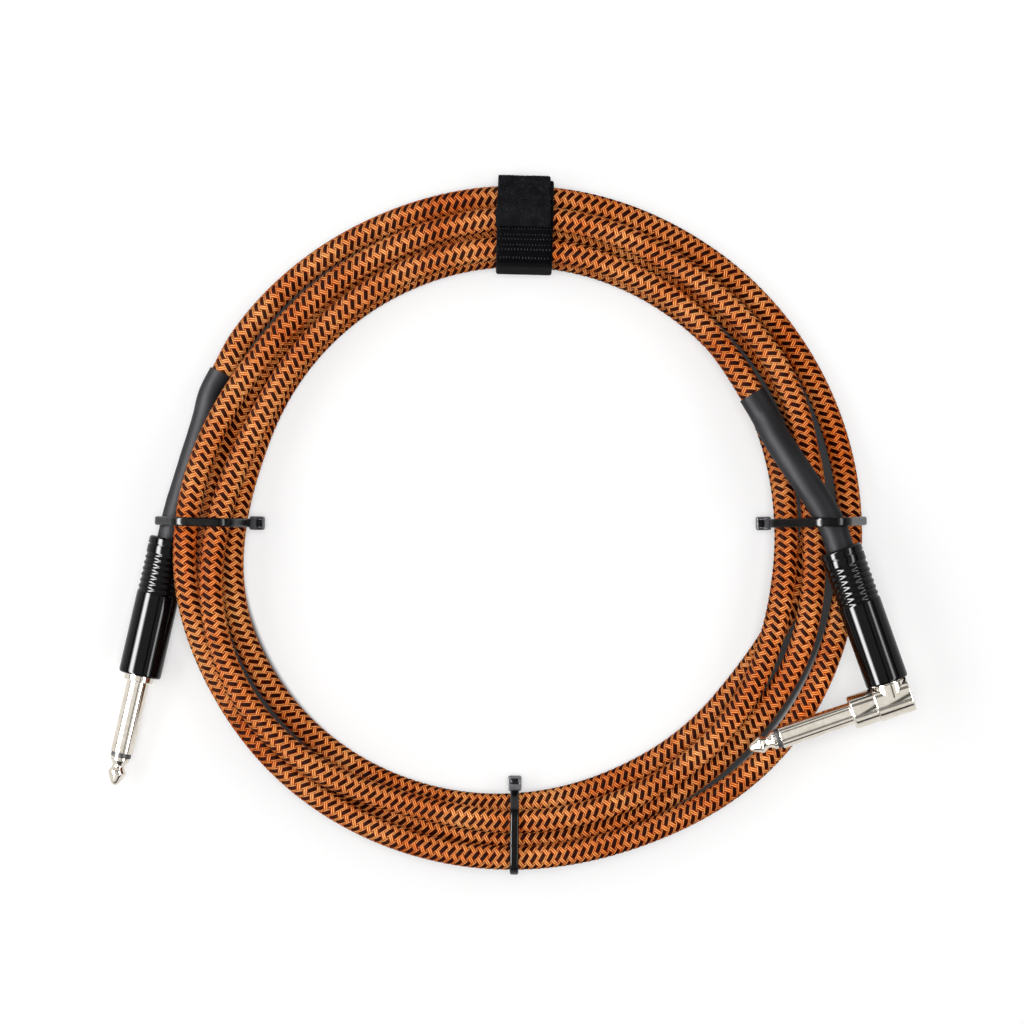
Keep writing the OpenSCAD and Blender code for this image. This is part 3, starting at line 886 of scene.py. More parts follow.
@dataclass
class CoilRoute:
    """The way that the cord's middle takes, with the same numbers as the part's source.

    Attributes:
        cord_d: the cord's diameter.
        pitch_share: distance between neighbouring strands over the diameter.
        coil_r: radius of the outermost lane.
        first_bearing: bearing at which the winding starts.
        wound: first and last angle wound.
        tie_bearings: bearings of the ties, where the bundle is lifted.
        strap_bearing: bearing of the strap.
        tie_lift: height gained over a tie.
        strap_lift: height gained over the strap.
        flattening: height lost between them.
        start_rise: height of the first point over its lane.
    """

    cord_d: float = 7.0
    pitch_share: float = 1.0715
    coil_r: float = 95.4
    first_bearing: float = 300.0
    wound: tuple[float, float] = (-2.0, 1560.0)
    tie_bearings: tuple[float, float, float] = (271.5, 88.5, 180.5)
    strap_bearing: float = 1.5
    tie_lift: float = 1.35
    strap_lift: float = 1.55
    flattening: float = 0.7
    start_rise: float = 1.4

    @property
    def pitch(self) -> float:
        """Distance between neighbouring strands."""
        return self.cord_d * self.pitch_share

    def lane(self, t: np.ndarray) -> np.ndarray:
        """Count strands inwards from the outermost.

        Args:
            t: angles wound.

        Returns:
            The count at each.
        """
        return (
            -0.12 * (ease(t, -7, 5) - ease(t, 5, 45))
            - 0.2 * swell(t, 190, 35) + 0.27 * swell(t, 232, 62) + ease(t, 312, 375)
            - 0.15 * swell(t, 428, 40) + 0.45 * swell(t, 507, 32)
            - 0.05 * ease(t, 530, 590) - 0.55 * swell(t, 664, 56) + 0.25 * ease(t, 655, 705)
            + 1.2 * ease(t, 855, 910) - 0.94 * ease(t, 930, 1028) + 0.75 * ease(t, 1026, 1070)
            + 0.25 * swell(t, 1228, 42) - 0.55 * ease(t, 1238, 1292)
            - 1.05 * ease(t, 1330, 1378) + 1.5 * ease(t, 1380, 1440)
            - 0.1 * swell(t, 1492, 45) + 0.3 * ease(t, 1530, 1560)
        )

    def level(self, t: np.ndarray) -> np.ndarray:
        """Count layers up from the surface.

        Args:
            t: angles wound.

        Returns:
            The count at each.
        """
        return (
            ease(t, 130, 185) - 0.2 * swell(t, 232, 55) + 0.45 * swell(t, 329, 35)
            - ease(t, 530, 560) + ease(t, 1200, 1252)
            + 0.9 * (ease(t, 1338, 1366) - ease(t, 1396, 1430))
            + 0.3 * ease(t, 1530, 1590)
        )

    def lift(self, bearing: np.ndarray) -> np.ndarray:
        """Height that the bundle gains over a tie or the strap, and loses elsewhere.

        Args:
            bearing: bearings along the cord.

        Returns:
            The height at each.
        """
        reach = 32.0

        def hump(places: Sequence[float], flat: float) -> np.ndarray:
            """Share of the lift near places, full up to flat degrees off them."""
            offs = [np.abs((bearing - place + 180.0) % 360.0 - 180.0) for place in places]
            return np.max([ease(reach - off, 0.0, reach - flat) for off in offs], axis=0)

        ties, strap = hump(self.tie_bearings, 2.0), hump((self.strap_bearing,), 9.0)
        level = self.flattening * (1.0 - np.maximum(ties, strap))
        return self.tie_lift * ties + self.strap_lift * strap - level

    def point(self, t: np.ndarray) -> np.ndarray:
        """Find the cord's middle.

        Args:
            t: angles wound.

        Returns:
            The point at each.
        """
        bearing = self.first_bearing + np.asarray(t, float)
        height = (
            self.cord_d / 2 + self.pitch * self.level(t) + self.lift(bearing)
            + self.start_rise * (1.0 - ease(t, 0, 25))
        )
        return polar(self.coil_r - self.pitch * self.lane(t), bearing, height)

    def circles(self, bearing: float, width: float) -> np.ndarray:
        """Where the strands cross the section at a bearing.

        Args:
            bearing: the section's bearing.
            width: width of what goes round the strands there.

        Returns:
            (radius, height, strand radius) of each crossing.
        """
        edge = math.degrees(math.asin(width / 2 / (self.coil_r - 3 * self.pitch)))
        rows = []
        for off in (-edge, 0.0, edge):
            first = (bearing + off - self.first_bearing + 720.0) % 360.0
            p = self.point(np.arange(first, self.wound[1], 360.0))
            r = np.hypot(p[:, 0], p[:, 1]) * math.cos(math.radians(off))
            rows.append(np.stack([r, p[:, 2], np.full(len(r), self.cord_d / 2)], 1))
        return np.vstack(rows)


@dataclass
class PlugSeat:
    """Where a plug lies: the middle of its barrel's cord end, its heading and its dip.

    Attributes:
        end: that middle.
        heading: direction of the barrel, degrees anticlockwise from +X.
        dip: turn of the plug round its barrel's axis.
    """

    end: np.ndarray
    heading: float
    dip: float = 0.0

    @property
    def barrel(self) -> Placing:
        """Place the barrel's frame.

        Returns:
            The placing, whose +Z is the barrel's axis.
        """
        turns = Placing.turning("z", self.heading), Placing.turning("x", self.dip)
        turn = turns[0] @ turns[1] @ Placing.turning("y", 90.0)
        return Placing(turn.turn, np.asarray(self.end, float))

    def on_axis(self, *along: float) -> np.ndarray:
        """Points on the barrel's axis, at distances from the cord end."""
        return self.barrel(np.array([[0.0, 0.0, s] for s in along]))


@dataclass
class CordRun:
    """The whole cord, from one plug's cable clamp round the coil to the other's.

    Attributes:
        coil: the wound part.
        straight: seat of the straight plug.
        angle: seat of the right-angle plug.
        jacket_end: depth in a barrel at which the woven jacket ends.
        sleeve_in: depth in a barrel at which a sleeve ends.
        step: distance between the cord's rings, a third of the weave's half repeat.
    """

    coil: CoilRoute = field(default_factory=CoilRoute)
    straight: PlugSeat = field(
        default_factory=lambda: PlugSeat(polar(95.4 + 3.84, 268.5, 6.3), 257.0)
    )
    angle: PlugSeat = field(
        default_factory=lambda: PlugSeat(polar(95.4 - 4.05, 93.25, 20.2005), -70.5, 3.0)
    )
    jacket_end: float = 15.5
    sleeve_in: float = 6.0
    step: float = 14.0 / 36.0

    def lead(self, seat: PlugSeat, route: Sequence[Row], end: float, inner: float) -> np.ndarray:
        """Points of a plug's lead, from inside the barrel to the coil.

        Args:
            seat: where the plug lies.
            route: (distance in from the outermost lane, bearing, distance below the
                barrel's axis) of the points between the barrel and the coil.
            end: angle wound at which the lead ends.
            inner: angle wound of a coil point beyond it, which gives the heading there.

        Returns:
            The points, one a row.
        """
        d = self.coil.cord_d
        inwards, bearing, below = np.array(route).T
        last, beyond = self.coil.point(np.array([end, inner]))
        return np.vstack([
            seat.on_axis(self.jacket_end, self.sleeve_in, 0.0, -d),
            polar(self.coil.coil_r - inwards, bearing, seat.end[2] - below),
            [last - d * unit(beyond - last), last],
        ])

    def straight_points(self) -> np.ndarray:
        """Points of the straight plug's lead."""
        route = [(0.0, 280.1, 0.7), (0.6, 285.3, 1.4), (0.42, 290.4, 1.9)]
        return self.lead(self.straight, route, self.coil.wound[0], 2.2)

    def angle_points(self) -> np.ndarray:
        """Points of the right-angle plug's lead."""
        route = [(10.05, 84.2, 0.0), (13.15, 79.9, 0.6), (15.75, 74.85, 2.6), (17.35, 69.9, 5.4)]
        return self.lead(self.angle, route, self.coil.wound[1], 1554.5)

    def line(self) -> np.ndarray:
        """Join the leads to the coil.

        Returns:
            The cord's middle from end to end, in even steps.
        """
        wound = self.coil.point(np.arange(4.0, self.coil.wound[1] - 4.0, 4.0))
        points = np.vstack([self.straight_points(), wound, self.angle_points()[::-1]])
        return smooth_line(points, self.step)


@dataclass
class WovenCord:
    """The cord: a core under a braid of twelve yarns, woven over one and under one.

    Six yarns climb round the core one way and six the other. A yarn's middle lies at
    radius mid + swing cos(pi m), where m counts its crossings, so it passes over at every
    second crossing and under between them.

    Attributes:
        run: the cord's way.
        core_r: radius of the core.
        lead: length along the cord in which a yarn goes once round.
        mid: mean radius of the yarns' middles.
        swing: rise and fall at crossings.
    """

    run: CordRun
    core_r: float = 2.88
    lead: float = 14.0
    mid: float = 3.19
    swing: float = 0.16

    def yarn(self, frame: Frame, number: int, way: int) -> Skin:
        """Sweep one yarn.

        A point of the section at w across and h up lies at distance s - way w sin(b) along
        the cord and at angle phi + w cos(b)/r round it, where b is the angle between yarn
        and cord, and at radius mid + swing cos(pi m) + h. The whole braid twists slowly.

        Args:
            frame: frame along the cord.
            number: the yarn's number in its set.
            way: 1 where the angle grows along the cord, -1 where it falls.

        Returns:
            The yarn's skin.
        """
        if way > 0:
            across = np.array([-0.94, -0.74, -0.54, -0.27, 0.27, 0.54, 0.74, 0.94, 0.42, -0.42])
            rise = np.array([0.0, 0.17, 0.06, 0.13, 0.13, 0.06, 0.17, 0.0, -0.11, -0.11])
            strips = np.array([0, 0, 1, 1, 1, 0, 0, 0, 1, 0])
            narrows = np.array([0.0, 0.0, 1.0, 1.0, 1.0, 1.0, 0.0, 0.0, 0.0, 0.0])
        else:
            across = np.array([-0.77, -0.56, -0.28, 0.0, 0.28, 0.56, 0.77, 0.38, -0.38])
            rise = np.array([0.0, 0.16, 0.05, 0.16, 0.05, 0.16, 0.0, -0.11, -0.11])
            strips, narrows = np.zeros(9, int), np.zeros(9)
        slant = math.atan2(FULL_TURN * self.mid, self.lead)
        at = frame.at[:, None] + 0.0 * across
        crossing = at / (self.lead / 12.0) + (1.0 if way < 0 else 0.0)
        across = across * (1.0 + narrows * (0.28 * np.cos(np.pi * crossing) - 0.22))
        radius = self.mid + self.swing * np.cos(np.pi * crossing) + rise
        w = across + 0.05 * ripple(at, 31 * number + 7 * way + 40, (23.0, 9.7, 61.0))
        shifted = np.clip(at - way * w * math.sin(slant), frame.at[0], frame.at[-1])
        turn = way * FULL_TURN * at / self.lead + np.pi / 3.0 * number
        turn = turn + w * math.cos(slant) / self.mid
        turn = turn + 0.5 * ripple(shifted, 11, (410.0, 173.0, 97.0)) + 0.00025 * shifted
        net = frame.place(shifted, turn, radius)
        return Skin(net, strips=strips, grain=(at / math.cos(slant), w + 0.0 * at), bake_rows=32)

    def build(self, plug_pieces: Sequence[bpy.types.Object]) -> None:
        """Args:
            plug_pieces: the pieces that sit on the cord's ends; not used.
        """
        line = self.run.line()
        frame = Frame.along(line)
        net = tube(line[::4], lambda at, turn: np.full_like(at, self.core_r), 20)
        core = add_piece("cord_core", [Skin(net, bake_rows=32)], [CORE], Slot.CORD,
                         "cord_coil", "straight_lead", "angle_lead", sharp=None)
        for side, way, finishes in (
            ("right", 1, (ORANGE_EDGE, BLACK_YARN)), ("left", -1, (ORANGE_LINE,))
        ):
            for number in range(6):
                name, skin = f"cord_yarn_{side}_{number + 1}", self.yarn(frame, number, way)
                add_piece(name, [skin], finishes, Slot.CORD, sharp=None)


@dataclass
class ShrunkSleeve:
    """A length of heat-shrink tubing over the cord where it enters a barrel.

    Its outer radius swells and creases softly along it and round it.

    Attributes:
        name: the CAD node that it stands for.
        points: the points that it follows.
        seed: picks its creases.
        outer_r: its outer radius.
        inner_r: its inner radius.
    """

    name: str
    points: np.ndarray
    seed: int
    outer_r: float = 3.98
    inner_r: float = 3.62

    def outside(self, at: np.ndarray, turn: np.ndarray) -> np.ndarray:
        """Swell and crease the sleeve's outside, but not in the barrel.

        Args:
            at: distances along.
            turn: angles round, in radians.

        Returns:
            The outer radius at each.
        """
        soft = ripple(at + 2.2 * np.sin(turn + 0.4), self.seed, (7.3, 4.1, 12.7))
        lump = ripple(at * 0.4 + 3.0 * np.cos(turn - 1.0), self.seed + 3, (5.9, 9.1))
        return self.outer_r + ease(at, 6.5, 10.0) * (0.03 * soft + 0.03 * lump)

    def build(self) -> bpy.types.Object:
        """Make the sleeve: out along the outside, back along the inside.

        Returns:
            The piece.
        """
        line = smooth_line(self.points, 0.5)
        outer = tube(line, self.outside, 48)
        inner = tube(line, lambda at, turn: np.full_like(at, self.inner_r), 48)
        mid = (self.outer_r + self.inner_r) / 2 / self.outer_r
        lips = [
            [line[end] + (outer[[end]] - line[end]) * share for share in (mid, 0.985)]
            for end in (0, -1)
        ]
        net = np.vstack([*lips[0], outer, *lips[1][::-1], inner[::-1]])
        LOG.info("%s: %.1f mm long", self.name, (len(line) - 1) * 0.5)
        return add_piece(f"{self.name}_skin", [Skin(net, ring=True, bake_rows=4)], [TUBING],
                         Slot.SLEEVE, self.name, sharp=50.0)


# ---------------------------------------------------------------- the plugs


@dataclass
class Barrel:
    """A turned barrel with fine ribs, bored from end to end.

    Attributes:
        seat: where its plug lies.
        body: the body that it rides on, which has its node's name too.
        mouth_r: radius of the mouth that the cord leaves by.
        nut_r: radius of the threaded part of the bore.
        ribs_from: distance of the ribs from the cord end.
    """

    seat: PlugSeat
    body: Body
    length: float = 40.0
    radius: float = 6.1
    mouth_r: float = 4.15
    bore_r: float = 4.9
    nut_r: float = 4.4
    ribs: int = 7
    ribs_from: float = 4.6
    rib_pitch: float = 1.7
    rib_depth: float = 0.35

    def profile(self) -> list[Row]:
        """Outside from the cord end to the front, then back through the bore.

        A rib is a cosine wave of rib_pitch along and rib_depth deep.

        Returns:
            (radius, height, rounding) rows.
        """
        r, low, soft = self.radius, self.radius - 0.35, 0.12
        turns = np.arange(10 * self.ribs + 1) / 10.0
        wave = r - self.rib_depth / 2 * (1.0 - np.cos(FULL_TURN * turns))
        height = self.ribs_from + self.rib_pitch * turns
        return [
            (self.mouth_r, 0.0, 0.1), (r - 0.5, 0.0, soft), (r, 0.5, soft), (r, 2.2, soft),
            (low, 2.2, 0.05), (low, 2.55, 0.05), (r, 2.55, soft),
            *((float(out), float(up), 0.0) for out, up in zip(wave, height)),
            (r, self.length, 0.95), (5.0, self.length, 0.08), (5.0, 38.6, 0.03),
            (self.nut_r, 38.6, 0.1), (self.nut_r, 29.85, 0.03), (self.bore_r, 29.85, 0.03),
            (self.bore_r, 2.2, 0.2), (self.mouth_r, 2.2, 0.1),
        ]

    def build(self) -> bpy.types.Object:
        """Turn the barrel.

        Returns:
            The piece.
        """
        name, skin = self.body.value, lathe(self.profile(), 96, self.seat.barrel)
        return add_piece(f"{name}_turned", [skin], [LACQUER], Slot.BARREL, name,
                         body=self.body, sharp=35.0)


@dataclass
class Finger:
    """The part of a plug that goes into a jack: shank, insulating ring and tip.

    Attributes:
        prefix: "straight" or "angle".
        place: placing of its own frame, whose +Z points to the tip.
        rear: profile rows from the bore's rear end to the shank's foot.
        rod_back: height at which the tube round the rod ends.
        stack: thickness of washer, lug and rivet head behind the tube.
    """

    prefix: str
    place: Placing
    rear: Sequence[Row]
    rod_back: float
    shank_r: float = 3.175
    shank_l: float = 21.0
    ring_l: float = 1.3
    ring_r: float = 2.85
    tip_l: float = 8.2
    tube_r: float = 1.8
    rod_r: float = 1.1
    rivet_r: float = 1.5
    stack: tuple[float, float, float] = (1.5, 0.6, 0.6)

    def build(self) -> list[bpy.types.Object]:
        """Make the shank, the ring with the tube round the rod, and the tip.

        Returns:
            The three pieces.
        """
        bore, hole, r = self.tube_r + 0.1, self.rod_r + 0.05, self.ring_r
        shank = [(bore, self.rear[0][1], 0.05), *self.rear, (self.shank_r, 0.0, 0.1)]
        shank += [(self.shank_r, self.shank_l, 0.18), (bore, self.shank_l, 0.05)]
        low, z, back = self.shank_l, self.shank_l + self.ring_l, self.rod_back
        ring = [(hole, z, 0.05), (r, z, 0.12), (r, low, 0.05), (self.tube_r, low, 0.05)]
        ring += [(self.tube_r, back, 0.05), (hole, back, 0.05)]
        for thick in self.stack:
            back -= thick
        head = back + self.stack[2]
        tip = [
            (self.rivet_r, back, 0.15), (self.rivet_r, head, 0.15), (self.rod_r, head, 0.05),
            (self.rod_r, z, 0.02), (2.68, z, 0.12), (2.7, z + 0.9, 0.25), (1.62, z + 2.5, 0.5),
            (1.68, z + 2.9, 0.4), (2.52, z + 4.25, 0.5), (2.55, z + 4.85, 0.6),
            (1.15, z + 7.6, 0.7), (0.55, z + self.tip_l, 0.35), (0.05, z + self.tip_l, 0.0),
        ]
        made = []
        for name, rows, sides, closed, sharp, finish, slot, node in (
            ("shank_turned", shank, 96, True, 35.0, NICKEL, Slot.NICKEL, "shank"),
            ("ring", ring, 64, True, 40.0, INSULATOR, Slot.INSULATOR, "tip_insulator"),
            ("tip_turned", tip, 64, False, 40.0, NICKEL, Slot.NICKEL, "tip"),
        ):
            skin = lathe(rows, sides, self.place, closed)
            made.append(add_piece(f"{self.prefix}_{name}", [skin], [finish], slot,
                                  f"{self.prefix}_{node}", sharp=sharp))
        return made


def thread_rows(start: float, end: float, radius: float = 4.3, pitch: float = 0.75) -> list[Row]:
    """Profile rows of a fine thread, drawn as close ridges.

    Args:
        start: height of the first ridge.
        end: height of the last.
        radius: radius at the crests.
        pitch: distance between ridges.

    Returns:
        (radius, height, rounding) rows.
    """
    rows: list[Row] = []
    for i in range(int((end - start) / pitch)):
        z = start + i * pitch
        rows += [(radius - 0.3, z, 0.06), (radius, z + 0.3, 0.05), (radius, z + 0.42, 0.05)]
    return rows


@dataclass
class StraightPlug:
    """The straight plug: barrel, collar and finger in one line.

    Attributes:
        seat: where it lies.
        face: distance of the collar's front from the barrel's cord end.
        neck: distance of the threaded neck's rear from there.
    """

    seat: PlugSeat
    face: float = 41.8
    neck: float = 31.6

    def build(self) -> list[bpy.types.Object]:
        """Make the plug's visible pieces.

        Returns:
            The pieces.
        """
        rear = [(4.0, -10.2, 0.2), *thread_rows(-10.0, -3.2), (4.0, -3.05, 0.03)]
        rear += [(4.8, -3.0, 0.12), (4.8, -1.9, 0.12), (4.2, -1.88, 0.03), (4.2, 0.0, 0.3)]
        place = self.seat.barrel @ Placing.moving(0.0, 0.0, self.face)
        finger = Finger("straight", place, rear, self.neck - self.face - 0.6)
        return [Barrel(self.seat, Body.STRAIGHT_BARREL).build(), *finger.build()]


@dataclass
class AnglePlug:
    """The right-angle plug: barrel, cast elbow, pressed cap, collar and finger.

    Attributes:
        seat: where it lies.
        front: distance of the barrel's front from its cord end.
        drop: distance of the finger's axis from the front.
        reach: half the length of the elbow's cross piece.
        elbow_r: radius of the cross piece.
        collar_r: radius of the collar.
        collar_l: length of the collar.
    """

    seat: PlugSeat
    front: float = 40.0
    drop: float = 4.9
    reach: float = 5.2
    elbow_r: float = 5.2
    collar_r: float = 4.85
    collar_l: float = 7.4

    def crosswise(self, along: float) -> Placing:
        """Frame whose +Z is the finger's heading, from a place along the finger's axis."""
        shift = Placing.moving(0.0, along, self.front + self.drop)
        return self.seat.barrel @ shift @ Placing.turning("x", 90.0)

    def elbow(self) -> bpy.types.Object:
        """Make the elbow: a cross piece on a post, with the threaded neck behind it.

        Returns:
            The piece.
        """
        z, r, chamber, bore, post_r = self.front + self.drop, self.elbow_r, 4.3, 3.3, 3.0
        body = [
            (bore, 2 * self.reach, 0.05), (r, 2 * self.reach, 0.25), (r, 0.0, 0.45),
            (chamber, 0.0, 0.12), (chamber, 1.9, 0.05), (bore, 1.9, 0.05),
        ]
        post = [
            (post_r, 31.6, 0.1), (4.0, 31.6, 0.2), *thread_rows(31.9, 38.7), (4.0, 38.75, 0.03),
            (4.8, 38.8, 0.12), (4.8, 39.9, 0.12), (4.5, 39.92, 0.03), (4.5, 40.3, 0.03),
            (r - 0.02, 40.32, 0.2), (r - 0.02, z, 0.02), (post_r, z, 0.02),
        ]
        skins = [lathe(body, 96, self.crosswise(self.reach)), lathe(post, 96, self.seat.barrel)]
        return add_piece("angle_elbow_cast", skins, [NICKEL], Slot.NICKEL, "angle_elbow",
                         sharp=35.0)

    def cap(self) -> bpy.types.Object:
        """Make the pressed cap, very slightly domed, with a shallow centre mark.

        Returns:
            The piece.
        """
        rows = [
            (0.05, 0.22, 0.0), (0.7, 0.2, 0.2), (1.0, 0.02, 0.2), (3.6, 0.0, 0.6),
            (4.2, 0.2, 0.15), (4.2, 1.3, 0.1), (0.05, 1.3, 0.0),
        ]
        skin = lathe(rows, 64, self.crosswise(self.reach), False)
        return add_piece("angle_cap_pressed", [skin], [NICKEL], Slot.NICKEL, "angle_elbow_cap")

    def build(self) -> list[bpy.types.Object]:
        """Make the plug's visible pieces.

        Returns:
            The pieces.
        """
        back = 2.0 - self.reach - self.collar_l
        r, foot = self.collar_r, -self.collar_l
        rear = [(3.2, back, 0.1), (3.2, foot, 0.03), (r, foot, 0.2), (r, -0.55, 0.2)]
        rear += [(r - 0.5, 0.0, 0.15)]
        finger = Finger("angle", self.crosswise(-self.reach - self.collar_l), rear, back)
        barrel = Barrel(self.seat, Body.ANGLE_BARREL).build()
        return [barrel, self.elbow(), self.cap(), *finger.build()]


# ---------------------------------------------------------------- ties and strap


@dataclass
class Section:
    """An upright section through the bundle at a bearing, and the hull round its strands.

    The hull's outline at normal angle a is c + (r + grow)(cos a, sin a), where c and r are
    the middle and radius of the strand that reaches farthest that way.

    Attributes:
        bearing: the section's bearing.
        circles: (radius, height, strand radius) of each strand.
    """

    bearing: float
    circles: np.ndarray

    def outline(self, grow: np.ndarray, count: int) -> np.ndarray:
        """Outline of the hull, at even steps along it.

        Args:
            grow: distance outside the strands, one for each ring that is wanted.
            count: points in the outline.

        Returns:
            rings x count x 2 points, (outward, up).
        """
        angle = round_angles(720)
        way = np.stack([np.cos(angle), np.sin(angle)], 1)
        best = self.circles[np.argmax(self.circles[:, :2] @ way.T + self.circles[:, 2:], axis=0)]
        middle = best[:, :2] + best[:, 2:] * way
        closed, ways = np.vstack([middle, middle[:1]]), np.vstack([way, way[:1]])
        along = distances(closed)
        wanted = np.linspace(0.0, along[-1], count, endpoint=False)
        base, normal = read(closed, along, wanted), unit(read(ways, along, wanted))
        return base[None] + np.asarray(grow)[:, None, None] * normal[None]

    def place(self, flat: np.ndarray, aside: np.ndarray) -> np.ndarray:
        """Carry section points into the part's frame.

        Args:
            flat: (outward, up) along the last axis.
            aside: distance out of the section, clockwise round the coil.

        Returns:
            The points.
        """
        c, s = math.cos(math.radians(self.bearing)), math.sin(math.radians(self.bearing))
        out, side, up = np.array([s, c, 0.0]), np.array([c, -s, 0.0]), np.array([0.0, 0.0, 1.0])
        return flat[..., :1] * out + flat[..., 1:] * up + np.asarray(aside)[..., None] * side

    def band(self, shape: np.ndarray, count: int, bake_rows: int = 1) -> Skin:
        """Sweep a band's own section round the hull.

        Args:
            shape: (aside, height) of each point of the band's section.
            count: points round the hull.
            bake_rows: number of rows that the bake map is cut into.

        Returns:
            The band's skin.
        """
        rings = self.outline(shape[:, 1], count)
        net = self.place(rings, shape[:, :1] + np.zeros((1, count)))
        return Skin(np.swapaxes(net, 0, 1), ring=True, bake_rows=bake_rows)


def band_section(width: float, low: float, high: float, steps: int) -> np.ndarray:
    """A flat band's own section with round edges.

    Args:
        width: its width.
        low: height of its underside.
        high: height of its top.
        steps: points along its top.

    Returns:
        (aside, height) of each point, once round.
    """
    r = (high - low) / 2
    flat = width / 2 - r
    top = np.linspace(-flat, flat, steps)
    edge = np.radians([45.0, 0.0, -45.0])
    right = np.stack([flat + r * np.cos(edge), low + r + r * np.sin(edge)], 1)
    over, under = (np.stack([s * top, np.full(steps, z)], 1) for s, z in ((1, high), (-1, low)))
    return np.vstack([over, right, under, right[::-1] * [-1.0, 1.0]])


def block(half_x: float, half_y: float, middle: float) -> np.ndarray:
    """An outline with round corners: |x / half_x|^7 + |y / half_y|^7 = 1.

    Args:
        half_x: half its length.
        half_y: half its width.
        middle: shift along x.

    Returns:
        (x, y) of each point, once round.
    """
    angle = round_angles(64)
    c, s, power = np.cos(angle), np.sin(angle), 2.0 / 7.0
    x, y = np.sign(c) * np.abs(c) ** power, np.sign(s) * np.abs(s) ** power
    return np.stack([half_x * x + middle, half_y * y], 1)


@dataclass
class NylonTie:
    """A cable tie pulled tight round the bundle: band, ratchet head and cut tail.

    Attributes:
        name: the CAD node that it stands for.
        section: the bundle's section there.
        wrap: gap between the strands and the band.
        head: length, width and height of the head.
        head_z: height of the head's underside.
    """

    name: str
    section: Section
    width: float = 2.5
    thick: float = 1.0
    wrap: float = 0.35
    head: tuple[float, float, float] = (4.4, 3.9, 4.6)
    head_z: float = 2.4

    def loops(self, flat: np.ndarray, rows: Sequence[tuple[float, float]]) -> np.ndarray:
        """Stack level loops of an outline.

        Args:
            flat: the outline.
            rows: (share by which it shrinks about its middle, height) of each loop.

        Returns:
            The net of the loops.
        """
        about = np.array([flat[:, 0].mean(), 0.0])
        pulled = [(flat - about) * (1.0 - shrink) + about for shrink, _ in rows]
        return np.stack([
            self.section.place(np.stack([p[:, 0], np.full(len(p), z)], 1), p[:, 1])
            for p, (_, z) in zip(pulled, rows)
        ])

    def head_skins(self) -> list[Skin]:
        """Make the head as a rounded block with a slot, and the cut tail in the slot.

        Returns:
            The skins of the two.
        """
        inner = float((self.section.circles[:, 0] - self.section.circles[:, 2]).min())
        long, wide, tall = self.head
        end = inner - self.wrap - long
        middle, slot = end + (long - 0.2) / 2, end + 0.8 + 0.6
        z0, z1 = self.head_z, self.head_z + tall
        outside = self.loops(block((long - 0.2) / 2, wide / 2, middle), (
            (0.16, z0), (0.05, z0 + 0.1), (0.0, z0 + 0.45),
            (0.0, z1 - 0.45), (0.05, z1 - 0.1), (0.16, z1),
        ))
        hole = self.loops(block(0.62, 1.2, slot), (
            (-0.3, z1), (0.0, z1 - 0.25), (0.0, z0 + 0.25), (-0.3, z0),
        ))
        tail = self.loops(block(0.48, 1.1, slot), (
            (0.1, z0 - 0.35), (0.0, z0 - 0.25), (0.0, z1 + 0.35), (0.1, z1 + 0.45),
        ))
        head = np.vstack([outside, hole])
        # material 1, the head, is the lighter grey nylon of the painted highlight
        return [Skin(head, ring=True, strips=np.ones(head.shape[1], int)), Skin(tail)]

    def build(self) -> bpy.types.Object:
        """Make the tie.

        Returns:
            The piece.
        """
        shape = band_section(self.width, self.wrap, self.wrap + self.thick, 5)
        skins = [self.section.band(shape, 220), *self.head_skins()]
        return add_piece(f"{self.name}_moulded", skins, [NYLON, NYLON_HEAD_PAINTED_LIGHT], Slot.NYLON,
                         self.name, sharp=45.0)


@dataclass
class Bed:
    """A stretch of a section's outline that hooks or cloth lie on.

    Attributes:
        section: the section.
        base: points of the stretch at even steps, (outward, up).
        normal: directions outwards there.
        at: distance along of each point.
        top_z: height above which the outline counts as the top.
        outside_r: radius beyond which it counts as the outside.
        fineness: points in the outline that the stretch is taken from.
    """

    section: Section
    base: np.ndarray
    normal: np.ndarray
    at: np.ndarray
    top_z: ClassVar[float] = 9.0
    outside_r: ClassVar[float] = 90.0
    fineness: ClassVar[int] = 1440

    @classmethod
    def over(cls, section: Section, step: float, end: float, start: float = math.inf,
             root_z: Optional[float] = None) -> "Bed":
        """Take the part of the outline that goes over the top.

        Args:
            section: the section.
            step: distance between its points.
            end: radius at which it ends.
            start: radius at which it starts, on top.
            root_z: height at which it starts instead, low on the outside.

        Returns:
            The bed.
        """
        rings = section.outline(np.array([0.0, 1.0]), cls.fineness)
        out, up = rings[0, :, 0], rings[0, :, 1]
        top = up > cls.top_z
        if root_z is None:
            kept = top & (out <= start) & (out >= end)
        else:
            kept = (top | (out > cls.outside_r)) & (up >= root_z) & (out >= end)
        order = np.flatnonzero(kept)
        split = np.flatnonzero(np.diff(order) > 1)
        if len(split):
            order = np.roll(order, -split[0] - 1)
        run = rings[:, order]
        along = distances(run[0])
        wanted = np.linspace(0.0, along[-1], int(round(along[-1] / step)) + 1)
        base, above = (read(ring, along, wanted) for ring in run)
        return Bed(section, base, unit(above - base), step * np.arange(len(base)))

    def points(self, where: np.ndarray, aside: np.ndarray, height: np.ndarray) -> np.ndarray:
        """Points at distances along the bed, to its side and above it."""
        base, normal = read(self.base, self.at, where), unit(read(self.normal, self.at, where))
        return self.section.place(base + height[..., None] * normal, aside)


